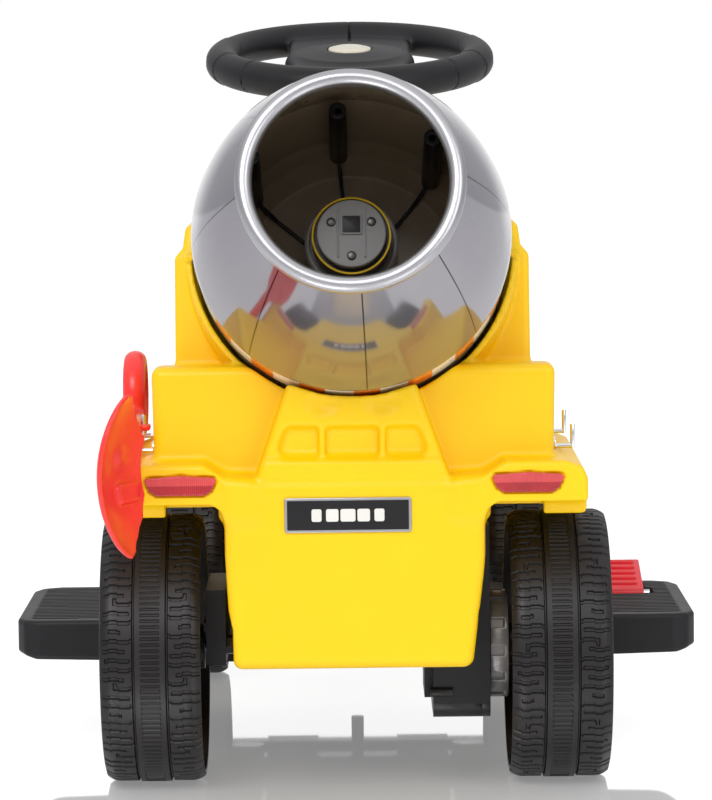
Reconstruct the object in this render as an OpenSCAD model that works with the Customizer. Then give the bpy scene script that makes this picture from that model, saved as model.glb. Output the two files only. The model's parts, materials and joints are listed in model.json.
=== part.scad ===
// Toy cement mixer truck: a small battery ride-on with a tilting drum.
// Millimetres. Origin on the floor under the middle. +Y forward, +X right, +Z up.

/* [Wheels] */

// Radius over the tread
wheel_r = 83.5; // [70:0.5:95]

// Width of a wheel
wheel_w = 61.5; // [50:0.5:75]

// Distance from the middle plane to a wheel's inner face
wheel_in = 94; // [90:1:100]

// Rear axle position along Y
rear_y = -175; // [-190:1:-160]

// Front axle position along Y
front_y = 250; // [240:1:260]

// Radius of the steel axles
axle_r = 5; // [4:0.5:6]

/* [Drum] */

// Largest radius of the drum
drum_r = 96.5; // [90:0.5:98]

// Radius of the drum's mouth to the middle of the rolled rim
mouth_r = 61.5; // [55:0.5:66]

// Radius of the rolled rim's bead
bead_r = 5; // [3:0.5:6]

// Length of the rear cone
cone_len = 122; // [110:1:130]

// Tilt of the drum's axis above the horizontal
drum_tilt = 17.3; // [15:0.1:22]

// Height of the middle of the drum's widest circle
drum_z = 342.1; // [335:0.1:345]

// Radius of the spindle that the drum turns on
spindle_r = 20; // [16:0.5:22]

/* [Body] */

// Wall thickness of the moulded shells
wall = 3.5; // [2.5:0.5:5]

// Y of the tail's rear face
tail_y = -270; // [-275:1:-265]

// Half width over the rear fenders
fender_x = 140; // [130:1:142]

// Half width over the shoulders
shoulder_x = 122; // [115:1:123]

// Height of the shoulders' top
shoulder_z = 264; // [255:1:270]

// Half width of the drum cradle
cradle_x = 109.5; // [106:0.5:112]

// Height of the backrest's top
backrest_z = 347; // [335:1:360]

// Half width of a footrest's outer edge from the middle plane
footrest_x = 221.5; // [205:0.5:225]

/* [Steering] */

// Outer diameter of the steering wheel
steer_d = 205; // [180:1:215]

// Thickness of the steering wheel's rim
steer_rim_d = 23; // [18:1:26]

// Tilt of the steering column toward the driver
steer_tilt = 10.4; // [8:0.1:14]

// Length of the steering crank and of the knuckle arms
crank_len = 30; // [25:1:34]

// Distance of a kingpin from the middle plane
kingpin_x = 78; // [74:1:80]

/* [Gearbox] */

// Gear module
gear_m = 1.25; // [1:0.25:1.5]

// Teeth on the output gear
gear_teeth = 48; // [40:8:56]

// Teeth on the motor pinion
pinion_teeth = 12; // [12:1:16]

/* [Hidden] */

$fn = 48;
fit = 0.05;
gap = 0.3;
drum_y = -240;
steer_y = 220;
steer_z = 446;
deck_z = 200;
fender_z = 173;
fender_top = 207;
lip_z = 182.5;
deck_x = 69.5;
step_top = 86;
tray_z0 = 85;
tray_z1 = 89;
body_front_y = -70;
tub_x = 80;
tub_front_y = 130;
nose_y = 362;
wheel_mid = wheel_in + wheel_w / 2;
disc_out = wheel_in + 46;
gear_centre = gear_m * (gear_teeth + pinion_teeth) / 2;
pinion_dir = 60;
dash_c = -112;
bush_r = 14;
column_r = 8;
seat_hinge_y = 119;
seat_hinge_z = 217;
pedal_y = 38;
pedal_z = 84.5;
pedal_x0 = 141.5;
pedal_x1 = 195;
hook_x = 134;
hook_z = 209.5;
shaft_x = -143;
shaft_z = 215;
horn_r = 15.5;
scoop = [-70, -328, 206];
scoop_r = 80;

// ---- Helpers ----

// Extrudes an outline drawn in X and Z from y0 to y1.
module along_y(y0, y1) {
    translate([0, y1, 0])
        rotate([90, 0, 0])
            linear_extrude(y1 - y0)
                children();
}

// Extrudes an outline drawn in Y and Z from x0 to x1.
module along_x(x0, x1) {
    translate([x0, 0, 0])
        rotate([90, 0, 90])
            linear_extrude(x1 - x0)
                children();
}

// A box from its low corner to its high corner.
module box(low, high) {
    translate(low)
        cube(high - low);
}

// A box that is symmetric about the middle plane.
module wide_box(half_x, y0, y1, z0, z1) {
    box([-half_x, y0, z0], [half_x, y1, z1]);
}

// A rod along X.
module rod_x(r, x0, x1, y, z) {
    translate([x0, y, z])
        rotate([0, 90, 0])
            cylinder(r = r, h = x1 - x0);
}

// The drum's own frame: +Z runs along its axis toward the mouth.
module at_drum() {
    translate([0, drum_y, drum_z])
        rotate([90 - drum_tilt, 0, 0])
            children();
}

// The steering column's own frame: +Z runs up the column from the wheel's centre.
module at_column() {
    translate([0, steer_y, steer_z])
        rotate([steer_tilt, 0, 0])
            children();
}

module mirrored_x(flip) {
    mirror([flip ? 1 : 0, 0, 0])
        children();
}

// Both sides of the vehicle.
module both_sides() {
    children();
    mirror([1, 0, 0])
        children();
}

// ---- Rear body ----

// Space swept by the drum, grown by a margin.
module drum_space(grow) {
    at_drum()
        rotate_extrude($fn = 96)
            polygon([[0, -122 - grow], [77 + grow, -122 - grow], [93 + grow, -98],
                     [drum_r + 1.5 + grow, -30], [drum_r + 1.5 + grow, 3],
                     [drum_r - 10 + grow, 48], [0, 48]]);
}

module tail_outline(inset) {
    polygon([[-74 + inset, 82.5 + inset], [70 - inset, 82.5 + inset],
             [78.5 - inset, 150], [78.5 - inset, deck_z - inset],
             [-78.5 + inset, deck_z - inset], [-78.5 + inset, 150]]);
}

module fender_outline(inset) {
    x = fender_x - inset;
    z = fender_top - inset;
    polygon([[-x, fender_z], [-x, z - 14], [-x + 4, z - 6], [-x + 12, z], [x - 12, z],
             [x - 4, z - 6], [x, z - 14], [x, fender_z]]);
}

module shoulder_outline(inset) {
    x = shoulder_x - inset;
    z = shoulder_z - inset;
    polygon([[-x, 190], [-x, z - 9], [-x + 3, z - 3], [-x + 9, z],
             [x - 9, z], [x - 3, z - 3], [x, z - 9], [x, 190]]);
}

// Shoulders, whose top falls away toward the front.
module shoulders(inset) {
    intersection() {
        along_y(-245 + inset, body_front_y - inset)
            shoulder_outline(inset);
        along_x(-shoulder_x, shoulder_x)
            polygon([[-245, 190], [-245, shoulder_z], [-222, shoulder_z - inset],
                     [body_front_y, 243 - inset], [body_front_y, 190]]);
    }
}

module cradle_outline(inset) {
    x = cradle_x - inset;
    z = backrest_z - inset;
    polygon([[-x, 195], [-x, 327], [-x + 5, 331], [-x + 7, z - 6], [-x + 14, z],
             [x - 14, z], [x - 7, z - 6], [x - 5, 331], [x, 327], [x, 195]]);
}

// Side view of the cradle walls in Y and Z.
module cradle_side() {
    polygon([[-190, 195], [-190, 258], [-178, 330], [-170, backrest_z],
             [body_front_y, backrest_z], [body_front_y, 195]]);
}

// Concrete chute below the drum, rear view and side view.
module chute() {
    intersection() {
        along_y(tail_y, -220)
            polygon([[-60, 190], [58, 190], [58, 197], [37, 256], [-39, 256], [-60, 197]]);
        along_x(-70, 70)
            polygon([[tail_y, 190], [tail_y, 209], [-261, 211], [-259, 226],
                     [-266, 228], [-262, 256], [-220, 256], [-220, 190]]);
    }
    box([-22, -267, 209], [-18, -256, 227]);
    box([16, -267, 209], [20, -256, 227]);
}

// Solid outside of the rear body.
module rear_outside() {
    spindle_seat(38, -172, -126);
    along_y(tail_y, -238)
        tail_outline(0);
    wide_box(deck_x, -240, body_front_y, tray_z1, deck_z);
    along_y(tail_y, -80)
        fender_outline(0);
    shoulders(0);
    intersection() {
        along_y(-190, body_front_y)
            cradle_outline(0);
        along_x(-120, 120)
            cradle_side();
    }
    chute();
}

// Hollow inside of the rear body.
module rear_inside() {
    along_y(tail_y + wall, -236)
        tail_outline(wall);
    wide_box(deck_x - wall, -237, body_front_y - wall, 60, deck_z + 4);
    difference() {
        along_y(tail_y + wall, -80 - wall)
            fender_outline(wall);
        both_sides() {
            box([deck_x - wall, tail_y, 150], [deck_x, -70, deck_z]);
            box([116, -250, 150], [fender_x, -246, deck_z]);
        }
    }
    both_sides() {
        box([deck_x, -246, 150], [fender_x - wall, -80 - wall, 178]);
        box([deck_x + 12, tail_y + wall, 150], [114, -240, 186]);
    }
    difference() {
        shoulders(wall);
        drum_space(wall);
    }
    along_y(-100 + wall, body_front_y - wall)
        cradle_outline(wall);
}

module spindle_seat(r, s0, s1) {
    intersection() {
        at_drum()
            translate([0, 0, s0])
                cylinder(r = r, h = s1 - s0);
        wide_box(60, -140, body_front_y - 1, 200, 340);
    }
}

module rear_body() {
    color("gold")
        difference() {
            rear_outside();
            difference() {
                rear_inside();
                spindle_seat(38, -172, -126);
            }
            spindle_seat(31, -170, -132);
            drum_space(0);
            at_drum()
                translate([0, 0, -126])
                    cylinder(r = 34 + gap, h = 5);
            both_sides() {
                rod_x(95, 74, fender_x + 2, rear_y, wheel_r);
                box([78.5, tail_y - 1, 150], [fender_x + 1, -250, lip_z]);
            }
            box([40, -216, 60], [79, -134, 164]);
        }
}

// ---- Tub, front body and chassis ----

module seat_tub() {
    color("gold") {
        difference() {
            wide_box(tub_x, body_front_y, tub_front_y, tray_z1, 212);
            wide_box(tub_x - wall, body_front_y + wall, tub_front_y - wall,
                     tray_z1 + wall, 214);
            rod_x(3, tub_x - wall - 1, tub_x + 1, 40, 150);
        }
        difference() {
            both_sides()
                box([62, seat_hinge_y - 4, 196], [70, tub_front_y - 1, seat_hinge_z + 4]);
            rod_x(2, -80, 80, seat_hinge_y, seat_hinge_z);
            wide_box(80, seat_hinge_y + 4.5, tub_front_y, 212, 230);
        }
    }
}

// Side view of the hood in Y and Z.
module hood_side(inset) {
    polygon([[tub_front_y + inset, 128], [tub_front_y + inset, 212 - inset],
             [150 + inset, 212 - inset], [170 + inset, 296], [195 + inset, 327.5 - inset],
             [282, 343.4 - inset], [316 - inset, 318 - inset], [348 - inset, 262],
             [nose_y - inset, 215], [nose_y - inset, 128]]);
}

module front_fender(inset) {
    along_x(-fender_x + inset, fender_x - inset)
        polygon([[150 + inset, 185], [156 + inset, 208 - inset], [170, 218 - inset],
                 [325, 218 - inset], [344 - inset, 208 - inset], [350 - inset, 185]]);
}

module front_outside(inset) {
    intersection() {
        along_x(-72 + inset, 72 - inset)
            hood_side(inset);
        union() {
            wide_box(80, 100, 400, 185, 360);
            wide_box(52 - inset, 100, 400, 120, 200);
        }
    }
    front_fender(inset);
}

module front_body() {
    color("gold")
        difference() {
            front_outside(0);
            difference() {
                front_outside(wall);
                box([-fender_x, 100, 170], [-52 + wall, 400, 185 + 0.01]);
                box([52 - wall, 100, 170], [fender_x, 400, 185 + 0.01]);
            }
            wide_box(52 - wall, tub_front_y + wall, nose_y - wall, 120, 130);
            both_sides()
                box([74, 154, 180], [fender_x - wall, 346, 190]);
            at_column()
                translate([-56, -34, dash_c - 12])
                    cube([112, 62, 20]);
            lamp_pair();
        }
}

// Boss that carries the lower end of the steering column.
module column_foot() {
    difference() {
        intersection() {
            at_column()
                translate([0, 0, -356])
                    cylinder(r = 12, h = 15);
            wide_box(20, 240, 320, 97, 120);
        }
        at_column()
            translate([0, 0, -350])
                cylinder(r = axle_r + fit, h = 20);
    }
}

module chassis() {
    color("dimgray") {
        difference() {
            wide_box(deck_x - 0.5, -234, body_front_y, tray_z0, tray_z1);
            box([47, -213, 80], [79, -137, 95]);
            wide_box(90, rear_y - 7, rear_y + 7, 80, 95);
        }
        wide_box(tub_x, body_front_y, tub_front_y, tray_z0, tray_z1);
        wide_box(45, tub_front_y - 2, tub_front_y + 2, tray_z0, tray_z1);
        difference() {
            wide_box(45, tub_front_y, nose_y, tray_z0, 100);
            wide_box(41, tub_front_y + 4, 234, tray_z0 - 1, 96);
            wide_box(41, 266, nose_y - 4, tray_z0 - 1, 96);
            at_column()
                translate([0, 0, -350])
                    cylinder(r = axle_r + fit, h = 20);
        }
        column_foot();
        difference() {
            union() {
                wide_box(kingpin_x - 5, 240, front_y + 10, 62, tray_z0 + 5);
                both_sides()
                    box([29, 238, 50], [66, front_y + 12, 66]);
                translate([0, front_y, 34])
                    cylinder(r = 4.5, h = 30);
                both_sides()
                    translate([kingpin_x, front_y, 60])
                        cylinder(r = 9, h = 47);
            }
            both_sides()
                translate([kingpin_x, front_y, 50])
                    cylinder(r = axle_r + fit, h = 70);
        }
        wide_box(40, tub_front_y, nose_y - 10, 96, 100);
        difference() {
            union() {
                box([-92, -215, 77.5], [-80, -135, 124]);
                box([-93.5, -215, 98], [-91, -135, 104]);
                box([-93.5, -215, 112], [-91, -135, 118]);
                rod_x(12.5, -92, -82, rear_y, wheel_r);
                box([-81, -215, tray_z0], [-deck_x + 2, -184, tray_z1 - 0.02]);
                box([-81, -166, tray_z0], [-deck_x + 2, -135, tray_z1 - 0.02]);
            }
            rod_x(axle_r, -95, -75, rear_y, wheel_r);
        }
    }
}

// ---- Footrests and pedal ----

module footrest_plan(inset) {
    x = footrest_x - inset;
    polygon([[62 + inset, -75 + inset], [x - 15, -75 + inset], [x - 7, -73 + inset],
             [x - 2, -66 + inset], [x, -55 + inset / 2], [x, 65 - inset / 2],
             [x - 3, 78 - inset], [x - 12, 88 - inset], [x - 20, 90 - inset],
             [62 + inset, 90 - inset]]);
}

module footrest_block(inset) {
    intersection() {
        translate([0, 0, 50])
            linear_extrude(50)
                footrest_plan(inset);
        along_y(-80, 95)
            polygon([[60, 57], [footrest_x - 13, 60.5], [footrest_x, 64.5],
                     [footrest_x, step_top - inset], [tub_x + 1, step_top - inset],
                     [tub_x + 1, tray_z0 - inset], [60, tray_z0 - inset]]);
    }
}

module footrest_shape(pocket) {
    difference() {
        footrest_block(0);
        difference() {
            footrest_block(wall);
            if (pocket)
                box([136, 28, 64], [pedal_x1 + 6, 50, 90]);
        }
        translate([0, 0, 50])
            linear_extrude(12)
                footrest_plan(wall);
        for (i = [0 : 21])
            box([100, -64 + i * 6.8, step_top - 0.9], [206, -61 + i * 6.8, step_top + 1]);
    }
}

module footrest_left() {
    color("dimgray")
        mirror([1, 0, 0])
            footrest_shape(false);
}

module footrest_right() {
    color("dimgray")
        difference() {
            footrest_shape(true);
            box([pedal_x0 - 1, pedal_y - 6, pedal_z - 5.5], [pedal_x1 + 1, pedal_y + 8, 90]);
            box([pedal_x0 - 1, pedal_y - 6, tray_z0 - 1], [pedal_x1 + 1, 87, 90]);
            rod_x(2, pedal_x0 - 4, pedal_x1 + 4, pedal_y, pedal_z);
        }
}

module pedal_pin() {
    color("silver")
        rod_x(2, pedal_x0 - 4, pedal_x1 + 4, pedal_y, pedal_z);
}

module accelerator_pedal() {
    color("red")
        difference() {
            union() {
                along_x(pedal_x0, pedal_x1)
                    polygon([[pedal_y - 3, 87.5], [84, 101.5], [85, 100.5], [85, 94],
                             [81, 93], [81, 96.3], [pedal_y + 3.6, 85.2], [pedal_y + 3.6, 84.5],
                             [pedal_y - 3.6, 84.5]]);
                rod_x(3.6, pedal_x0, pedal_x1, pedal_y, pedal_z);
                for (i = [0 : 4])
                    along_x(pedal_x0 + 4, pedal_x1 - 4)
                        translate([pedal_y + 6 + i * 8.4, 89.2 + i * 2.4])
                            rotate(16)
                                square([3, 2]);
            }
            rod_x(2 + fit, pedal_x0 - 1, pedal_x1 + 1, pedal_y, pedal_z);
        }
}

// ---- Plates, lamps and trim ----

module rear_plate() {
    color("black")
        wide_box_at(-4, 36.5, tail_y - 1.6, tail_y, 167, 185);
}

module wide_box_at(x, half_x, y0, y1, z0, z1) {
    translate([x, 0, 0])
        wide_box(half_x, y0, y1, z0, z1);
}

module plate_frame() {
    color("silver")
        difference() {
            wide_box_at(-4, 38, tail_y - 2.2, tail_y, 165.5, 186.5);
            wide_box_at(-4, 36.5, tail_y - 3, tail_y + 1, 167, 185);
        }
}

module tail_light() {
    along_y(tail_y - 2.2, tail_y)
        polygon([[81.5, 197.5], [84.5, 190.5], [89, 187.5], [119, 187.5], [123.5, 190.5],
                 [126.5, 197.5], [125, 200], [104, 201.5], [83, 200]]);
}

module tail_light_left() {
    color("firebrick")
        mirror([1, 0, 0])
            tail_light();
}

module tail_light_right() {
    color("firebrick")
        tail_light();
}

module lamp_pair() {
    both_sides()
        translate([100, 355, 200])
            rotate([90, 0, 0])
                cylinder(r = 14, h = 12);
}

module headlights() {
    color("white")
        lamp_pair();
}

module grille() {
    color("dimgray")
        difference() {
            wide_box(46, nose_y, nose_y + 5, 152, 208);
            for (i = [0 : 4])
                wide_box(40, nose_y + 2, nose_y + 6, 158 + i * 9.6, 163 + i * 9.6);
        }
}

module front_bumper() {
    color("dimgray")
        difference() {
            along_y(nose_y + 1, 380)
                polygon([[-120, 84], [-110, 72], [110, 72], [120, 84], [120, 128],
                         [108, 140], [-108, 140], [-120, 128]]);
            along_y(nose_y, 380 - wall)
                polygon([[-116, 86], [-108, 76], [108, 76], [116, 86], [116, 126],
                         [106, 136], [-106, 136], [-116, 126]]);
        }
        wide_box(30, nose_y, 380 - wall, 88, 99);
}

module dashboard() {
    color("dimgray")
        at_column()
            difference() {
                translate([-64, -42, dash_c])
                    cube([128, 76, 6]);
                translate([0, 0, dash_c - 1])
                    cylinder(r = bush_r, h = 10);
                translate([42, -24, dash_c - 1])
                    cylinder(r = 8 + gap, h = 10);
                translate([-42, -24, dash_c - 1])
                    cylinder(r = 6 + gap, h = 10);
                translate([42 - 7 - gap, 2 - gap, dash_c - 1])
                    cube([14 + 2 * gap, 24 + 2 * gap, 10]);
                translate([32, 14, dash_c + 3])
                    rotate([0, 90, 0])
                        cylinder(r = 2 + fit, h = 20);
            }
}

// ---- Drum ----

module drum_turned(points) {
    at_drum()
        rotate_extrude($fn = 96)
            polygon(points);
}

module drum_rear_cone() {
    color("silver")
        drum_turned([[drum_r, 0], [mouth_r + 1.5, cone_len - bead_r],
                     [mouth_r - 1.5, cone_len - bead_r], [drum_r - 3, 0]]);
}

module drum_rim() {
    color("silver")
        at_drum()
            rotate_extrude($fn = 96)
                translate([mouth_r, cone_len])
                    circle(r = bead_r, $fn = 24);
}

module drum_band() {
    color("lightgray")
        drum_turned([[drum_r - 3.5, -30], [drum_r - 1, -30], [drum_r - 1, 0],
                     [drum_r - 3.5, 0]]);
}

module drum_front_shell() {
    color("dimgray")
        difference() {
            union() {
                drum_turned([[drum_r - 1, -30], [88.5, -96], [84, -106], [70, -118],
                             [28.6, -118], [28.6, -115], [69, -115], [81.5, -104.5],
                             [86, -96], [drum_r - 3.5, -30]]);
                at_drum()
                    for (i = [0 : 7])
                        rotate([0, 0, 40 + i * 45]) {
                            translate([80, 0, -106])
                                cylinder(r = 5.5, h = 105, $fn = 24);
                            translate([30, -1, -115.5])
                                cube([48, 2, 4]);
                        }
            }
            at_drum()
                for (i = [0 : 7])
                    rotate([0, 0, 40 + i * 45])
                        translate([80, 0, -60])
                            cylinder(r = 2, h = 60, $fn = 16);
        }
}

module drum_sleeve() {
    color("silver")
        drum_turned([[spindle_r + fit, -119], [28.5, -119], [28.5, -22], [27, -20],
                     [spindle_r + fit, -20]]);
}

module screw_spots(r, s0, s1) {
    at_drum()
        for (a = [30, 150, 270])
            rotate([0, 0, a])
                translate([13.5, 0, s0])
                    cylinder(r = r, h = s1 - s0, $fn = 24);
}

module drum_spindle() {
    color("gold")
        difference() {
            drum_turned([[0, -126], [34, -126], [34, -122], [spindle_r, -122],
                         [spindle_r, -18], [0, -18]]);
            screw_spots(1.5, -34, -10);
        }
}

module spindle_nut() {
    color("gold")
        difference() {
            drum_turned([[0, -18], [24, -18], [24, -3], [22, 0], [0, 0]]);
            screw_spots(1.5, -20, 2);
        }
}

module spindle_cap() {
    color("silver")
        difference() {
            drum_turned([[0, 0], [21, 0], [21, 4], [20, 5], [0, 5]]);
            screw_spots(1.5, -2, 8);
            at_drum()
                translate([-4, 1, 3])
                    cube([8, 9, 4]);
        }
}

module spindle_screws() {
    color("silver") {
        screw_spots(3.4, 5, 7.2);
        screw_spots(1.5, -32, 5);
    }
}

// ---- Shovel and its hooks ----

module hook(y) {
    rod_x(1.5, shoulder_x, hook_x, y, hook_z);
    translate([hook_x, y, hook_z - 1.5])
        cylinder(r = 1.5, h = 15);
    rod_x(4, shoulder_x, shoulder_x + 1.5, y, hook_z + 2);
}

module tool_hooks() {
    color("silver")
        both_sides() {
            hook(-205);
            hook(-110);
        }
}

// Outline of the shovel's blade seen from the side.
module blade_side() {
    translate([scoop[1], scoop[2]])
        polygon([[-14, -9], [-14, 9], [-11, 27], [-3, 41], [8, 48], [20, 46], [34, 38],
                 [46, 27], [53, 18], [53, -16], [46, -29], [34, -39], [20, -47],
                 [8, -49], [-3, -42], [-11, -27]]);
}

// Tab that hangs over a hook.
module shovel_tab(y) {
    difference() {
        box([shaft_x, y - 6, shaft_z - 2], [-129.5, y + 6, shaft_z + 2]);
        translate([-hook_x, y, hook_z])
            cylinder(r = 2.7, h = 20);
    }
}

module shovel() {
    color("red") {
        intersection() {
            translate(scoop)
                difference() {
                    sphere(r = scoop_r);
                    sphere(r = scoop_r - 3);
                }
            along_x(-160, -120)
                blade_side();
        }
        translate([shaft_x, -300, shaft_z])
            rotate([-90, 0, 0])
                cylinder(r = 7, h = 252);
        shovel_tab(-205);
        shovel_tab(-110);
        along_x(shaft_x - 7.5, shaft_x + 7.5)
            difference() {
                translate([-32, 229])
                    circle(r = 29);
                translate([-30, 229])
                    circle(r = 17);
            }
    }
}

// ---- Axles, wheels ----

module rear_axle() {
    color("silver")
        rod_x(axle_r, -(disc_out + 7), disc_out + 7, rear_y, wheel_r);
}

module washer(x) {
    difference() {
        rod_x(9, x, x + 3.5, 0, 0);
        rod_x(axle_r, x - 1, x + 5, 0, 0);
    }
}

module axle_washers() {
    color("silver")
        translate([0, rear_y, wheel_r])
            both_sides()
                washer(disc_out + gap);
}

// A wheel in its own frame: axis along X, outer side toward +X, inner face at X = 0.
module wheel_shape() {
    rotate([90, 0, 90])
        rotate_extrude($fn = 96)
            polygon([[axle_r + fit, 0], [14, 0], [14, 42], [49, 42], [56, 36], [63, 36],
                     [70, 54], [77, 54], [77, 0], [80.5, 0], [82.3, 4], [82.8, 20],
                     [wheel_r, 21], [wheel_r, wheel_w - 21], [82.8, wheel_w - 20],
                     [82.3, wheel_w - 4], [80.5, wheel_w], [72, wheel_w],
                     [67, wheel_w - 6], [60, 40], [50, 46], [axle_r + fit, 46]]);
}

module hub_cap_shape() {
    rotate([90, 0, 90])
        rotate_extrude($fn = 48)
            polygon([[20, 46], [27, 46], [27, 51], [22, 58], [0, 60], [0, 57.5],
                     [19, 55.5]]);
}

module wheel_at(side, y) {
    mirrored_x(side < 0)
        translate([wheel_in, y, wheel_r])
            children();
}

module wheel_rear_left() {
    color("black")
        wheel_at(-1, rear_y)
            wheel_shape();
}

module wheel_rear_right() {
    color("black")
        wheel_at(1, rear_y)
            wheel_shape();
}

module wheel_front_left() {
    color("black")
        wheel_at(-1, front_y)
            wheel_shape();
}

module wheel_front_right() {
    color("black")
        wheel_at(1, front_y)
            wheel_shape();
}

module hub_cap_rear_left() {
    color("silver")
        wheel_at(-1, rear_y)
            hub_cap_shape();
}

module hub_cap_rear_right() {
    color("silver")
        wheel_at(1, rear_y)
            hub_cap_shape();
}

module hub_cap_front_left() {
    color("silver")
        wheel_at(-1, front_y)
            hub_cap_shape();
}

module hub_cap_front_right() {
    color("silver")
        wheel_at(1, front_y)
            hub_cap_shape();
}

// ---- Gearbox ----

function involute(a) = tan(a) * 180 / PI - a;

// Half the angle that a tooth covers at radius r.
function tooth_half(r, rp, teeth, slack) =
    90 / teeth - slack / rp * 180 / PI + involute(20)
    - involute(acos(min(1, rp * cos(20) / r)));

module gear_outline(teeth, slack) {
    rp = gear_m * teeth / 2;
    root = rp - 1.25 * gear_m;
    tip = rp + gear_m;
    low = max(rp * cos(20), root);
    steps = 5;
    polygon([for (i = [0 : teeth - 1], k = [-steps - 1 : steps + 1])
        let (n = abs(k),
             side = k < 0 ? -1 : 1,
             r = n > steps ? root : tip - (tip - low) * n / steps,
             a = i * 360 / teeth + side * tooth_half(max(r, low), rp, teeth, slack))
        [r * cos(a), r * sin(a)]]);
}

module gearbox_outline(inset) {
    translate([rear_y, wheel_r]) {
        translate([-38 + inset, -31.5])
            square([76 - 2 * inset, 110 - inset]);
        translate([-28, -41.5 + inset])
            square([56, 20]);
        for (y = [-28, 28])
            translate([y, -31.5])
                circle(r = 10 - inset);
    }
}

module at_pinion() {
    translate([0, rear_y + gear_centre * cos(pinion_dir),
               wheel_r + gear_centre * sin(pinion_dir)])
        children();
}

module gearbox_case() {
    color("dimgray")
        difference() {
            union() {
                along_x(47, 77)
                    gearbox_outline(0);
                box([41.7, -205, 54.5], [48, -150, 84]);
                rod_x(3, 45, 59, -213.5, 59);
            }
            along_x(50, 78)
                gearbox_outline(3);
            rod_x(axle_r, 40, 60, rear_y, wheel_r);
            at_pinion()
                rod_x(4, 40, 60, 0, 0);
        }
}

module gearbox_cover() {
    color("dimgray")
        difference() {
            along_x(77, 82.2)
                gearbox_outline(0);
            rod_x(12.4, 70, 90, rear_y, wheel_r);
        }
}

module output_gear() {
    color("white")
        difference() {
            translate([0, rear_y, wheel_r])
                along_x(62, 72)
                    gear_outline(gear_teeth, 0.12);
            rod_x(axle_r + fit, 60, 80, rear_y, wheel_r);
        }
}

module motor_pinion() {
    color("silver")
        at_pinion() {
            along_x(61, 73)
                rotate(180 / pinion_teeth)
                    gear_outline(pinion_teeth, 0.12);
            rod_x(2, 42, 62, 0, 0);
        }
}

module motor() {
    color("silver")
        at_pinion()
            difference() {
                rod_x(14, 10, 46.5, 0, 0);
                rod_x(2 + fit, 40, 50, 0, 0);
            }
}

module drive_hub() {
    color("gray")
        difference() {
            union() {
                rod_x(33.5, 82.5, wheel_in, rear_y, wheel_r);
                rod_x(12, 72, 83, rear_y, wheel_r);
            }
            rod_x(axle_r + fit, 70, 100, rear_y, wheel_r);
            translate([0, rear_y, wheel_r])
                for (i = [0 : 11])
                    rotate([i * 30, 0, 0])
                        box([82, -3, 31.5], [91, 3, 40]);
        }
}

// ---- Steering ----

module steering_wheel() {
    rim = (steer_d - steer_rim_d) / 2;
    color("dimgray")
        at_column()
            difference() {
                union() {
                    rotate_extrude($fn = 96)
                        translate([rim, 0])
                            circle(r = steer_rim_d / 2, $fn = 32);
                    translate([-40, -rim, -12])
                        cube([80, 2 * rim, 14]);
                    translate([0, 0, -34])
                        cylinder(r = 17, h = 30);
                    translate([0, 0, -8])
                        cylinder(r = 46, h = 14);
                }
                translate([0, 0, -35])
                    cylinder(r = column_r, h = 23);
                translate([0, 0, -1])
                    cylinder(r = horn_r + gap, h = 10);
            }
}

module horn_button() {
    color("wheat")
        at_column()
            translate([0, 0, 2])
                cylinder(r = horn_r, h = 6);
}

module steering_column() {
    color("silver")
        at_column() {
            translate([0, 0, -338])
                cylinder(r = column_r, h = 326);
            translate([0, 0, -346])
                cylinder(r = axle_r, h = 9);
            translate([0, 0, -324])
                cylinder(r = 12, h = 6);
            translate([-6, -crank_len - 5, -324])
                cube([12, crank_len, 6]);
            translate([0, -crank_len, -334])
                cylinder(r = 3, h = 11);
        }
}

module column_bush() {
    color("white")
        at_column()
            difference() {
                translate([0, 0, dash_c])
                    cylinder(r = bush_r, h = 8);
                translate([0, 0, dash_c - 1])
                    cylinder(r = column_r + fit, h = 12);
            }
}

module slot_y(x, y0, y1, half_w) {
    box([x - half_w, y0, 110], [x + half_w, y1, 125]);
}

module tie_rod() {
    arm_y = front_y - crank_len;
    color("dimgray")
        difference() {
            union() {
                wide_box(kingpin_x, arm_y - 5, arm_y + 6, 114, 119);
                both_sides()
                    box([kingpin_x - 10, arm_y - 8, 114], [kingpin_x + 9, arm_y + 12, 119]);
                wide_box(9, arm_y, 262, 114, 119);
            }
            for (side = [-1, 1])
                slot_y(side * kingpin_x, arm_y - 4, arm_y + 8, 3.6);
            slot_y(0, front_y - 7, front_y + 8, 3.7);
        }
}

// Right knuckle: a bracket around the kingpin boss, with its pin and steering arm.
module knuckle_shape() {
    difference() {
        union() {
            translate([kingpin_x, front_y, 108])
                cylinder(r = 9, h = 5);
            box([kingpin_x, front_y - 9, 108], [92.5, front_y + 9, 113]);
            translate([kingpin_x, front_y, 54])
                cylinder(r = 9, h = 5);
            box([kingpin_x, front_y - 9, 54], [92.5, front_y + 9, 59]);
            box([88, front_y - 9, 54], [92.5, front_y + 9, 113]);
            box([kingpin_x - 6, front_y - crank_len - 6, 108],
                [kingpin_x + 6, front_y, 113]);
        }
        rod_x(axle_r, 80, 100, front_y, wheel_r);
    }
    translate([kingpin_x, front_y, 54])
        cylinder(r = axle_r, h = 57);
    translate([kingpin_x, front_y - crank_len, 112])
        cylinder(r = 3, h = 9);
}

module knuckle_left() {
    color("dimgray")
        mirror([1, 0, 0])
            knuckle_shape();
}

module knuckle_right() {
    color("dimgray")
        knuckle_shape();
}

module stub_axle_shape() {
    rod_x(axle_r, 88, disc_out + 7, front_y, wheel_r);
    translate([0, front_y, wheel_r])
        washer(disc_out + gap);
}

module stub_axle_left() {
    color("silver")
        mirror([1, 0, 0])
            stub_axle_shape();
}

module stub_axle_right() {
    color("silver")
        stub_axle_shape();
}

// ---- Power, seat and controls ----

module battery() {
    color("darkslategray")
        box([-50, 20, tray_z1 + wall], [45, 95, tray_z1 + wall + 60]);
}

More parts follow.
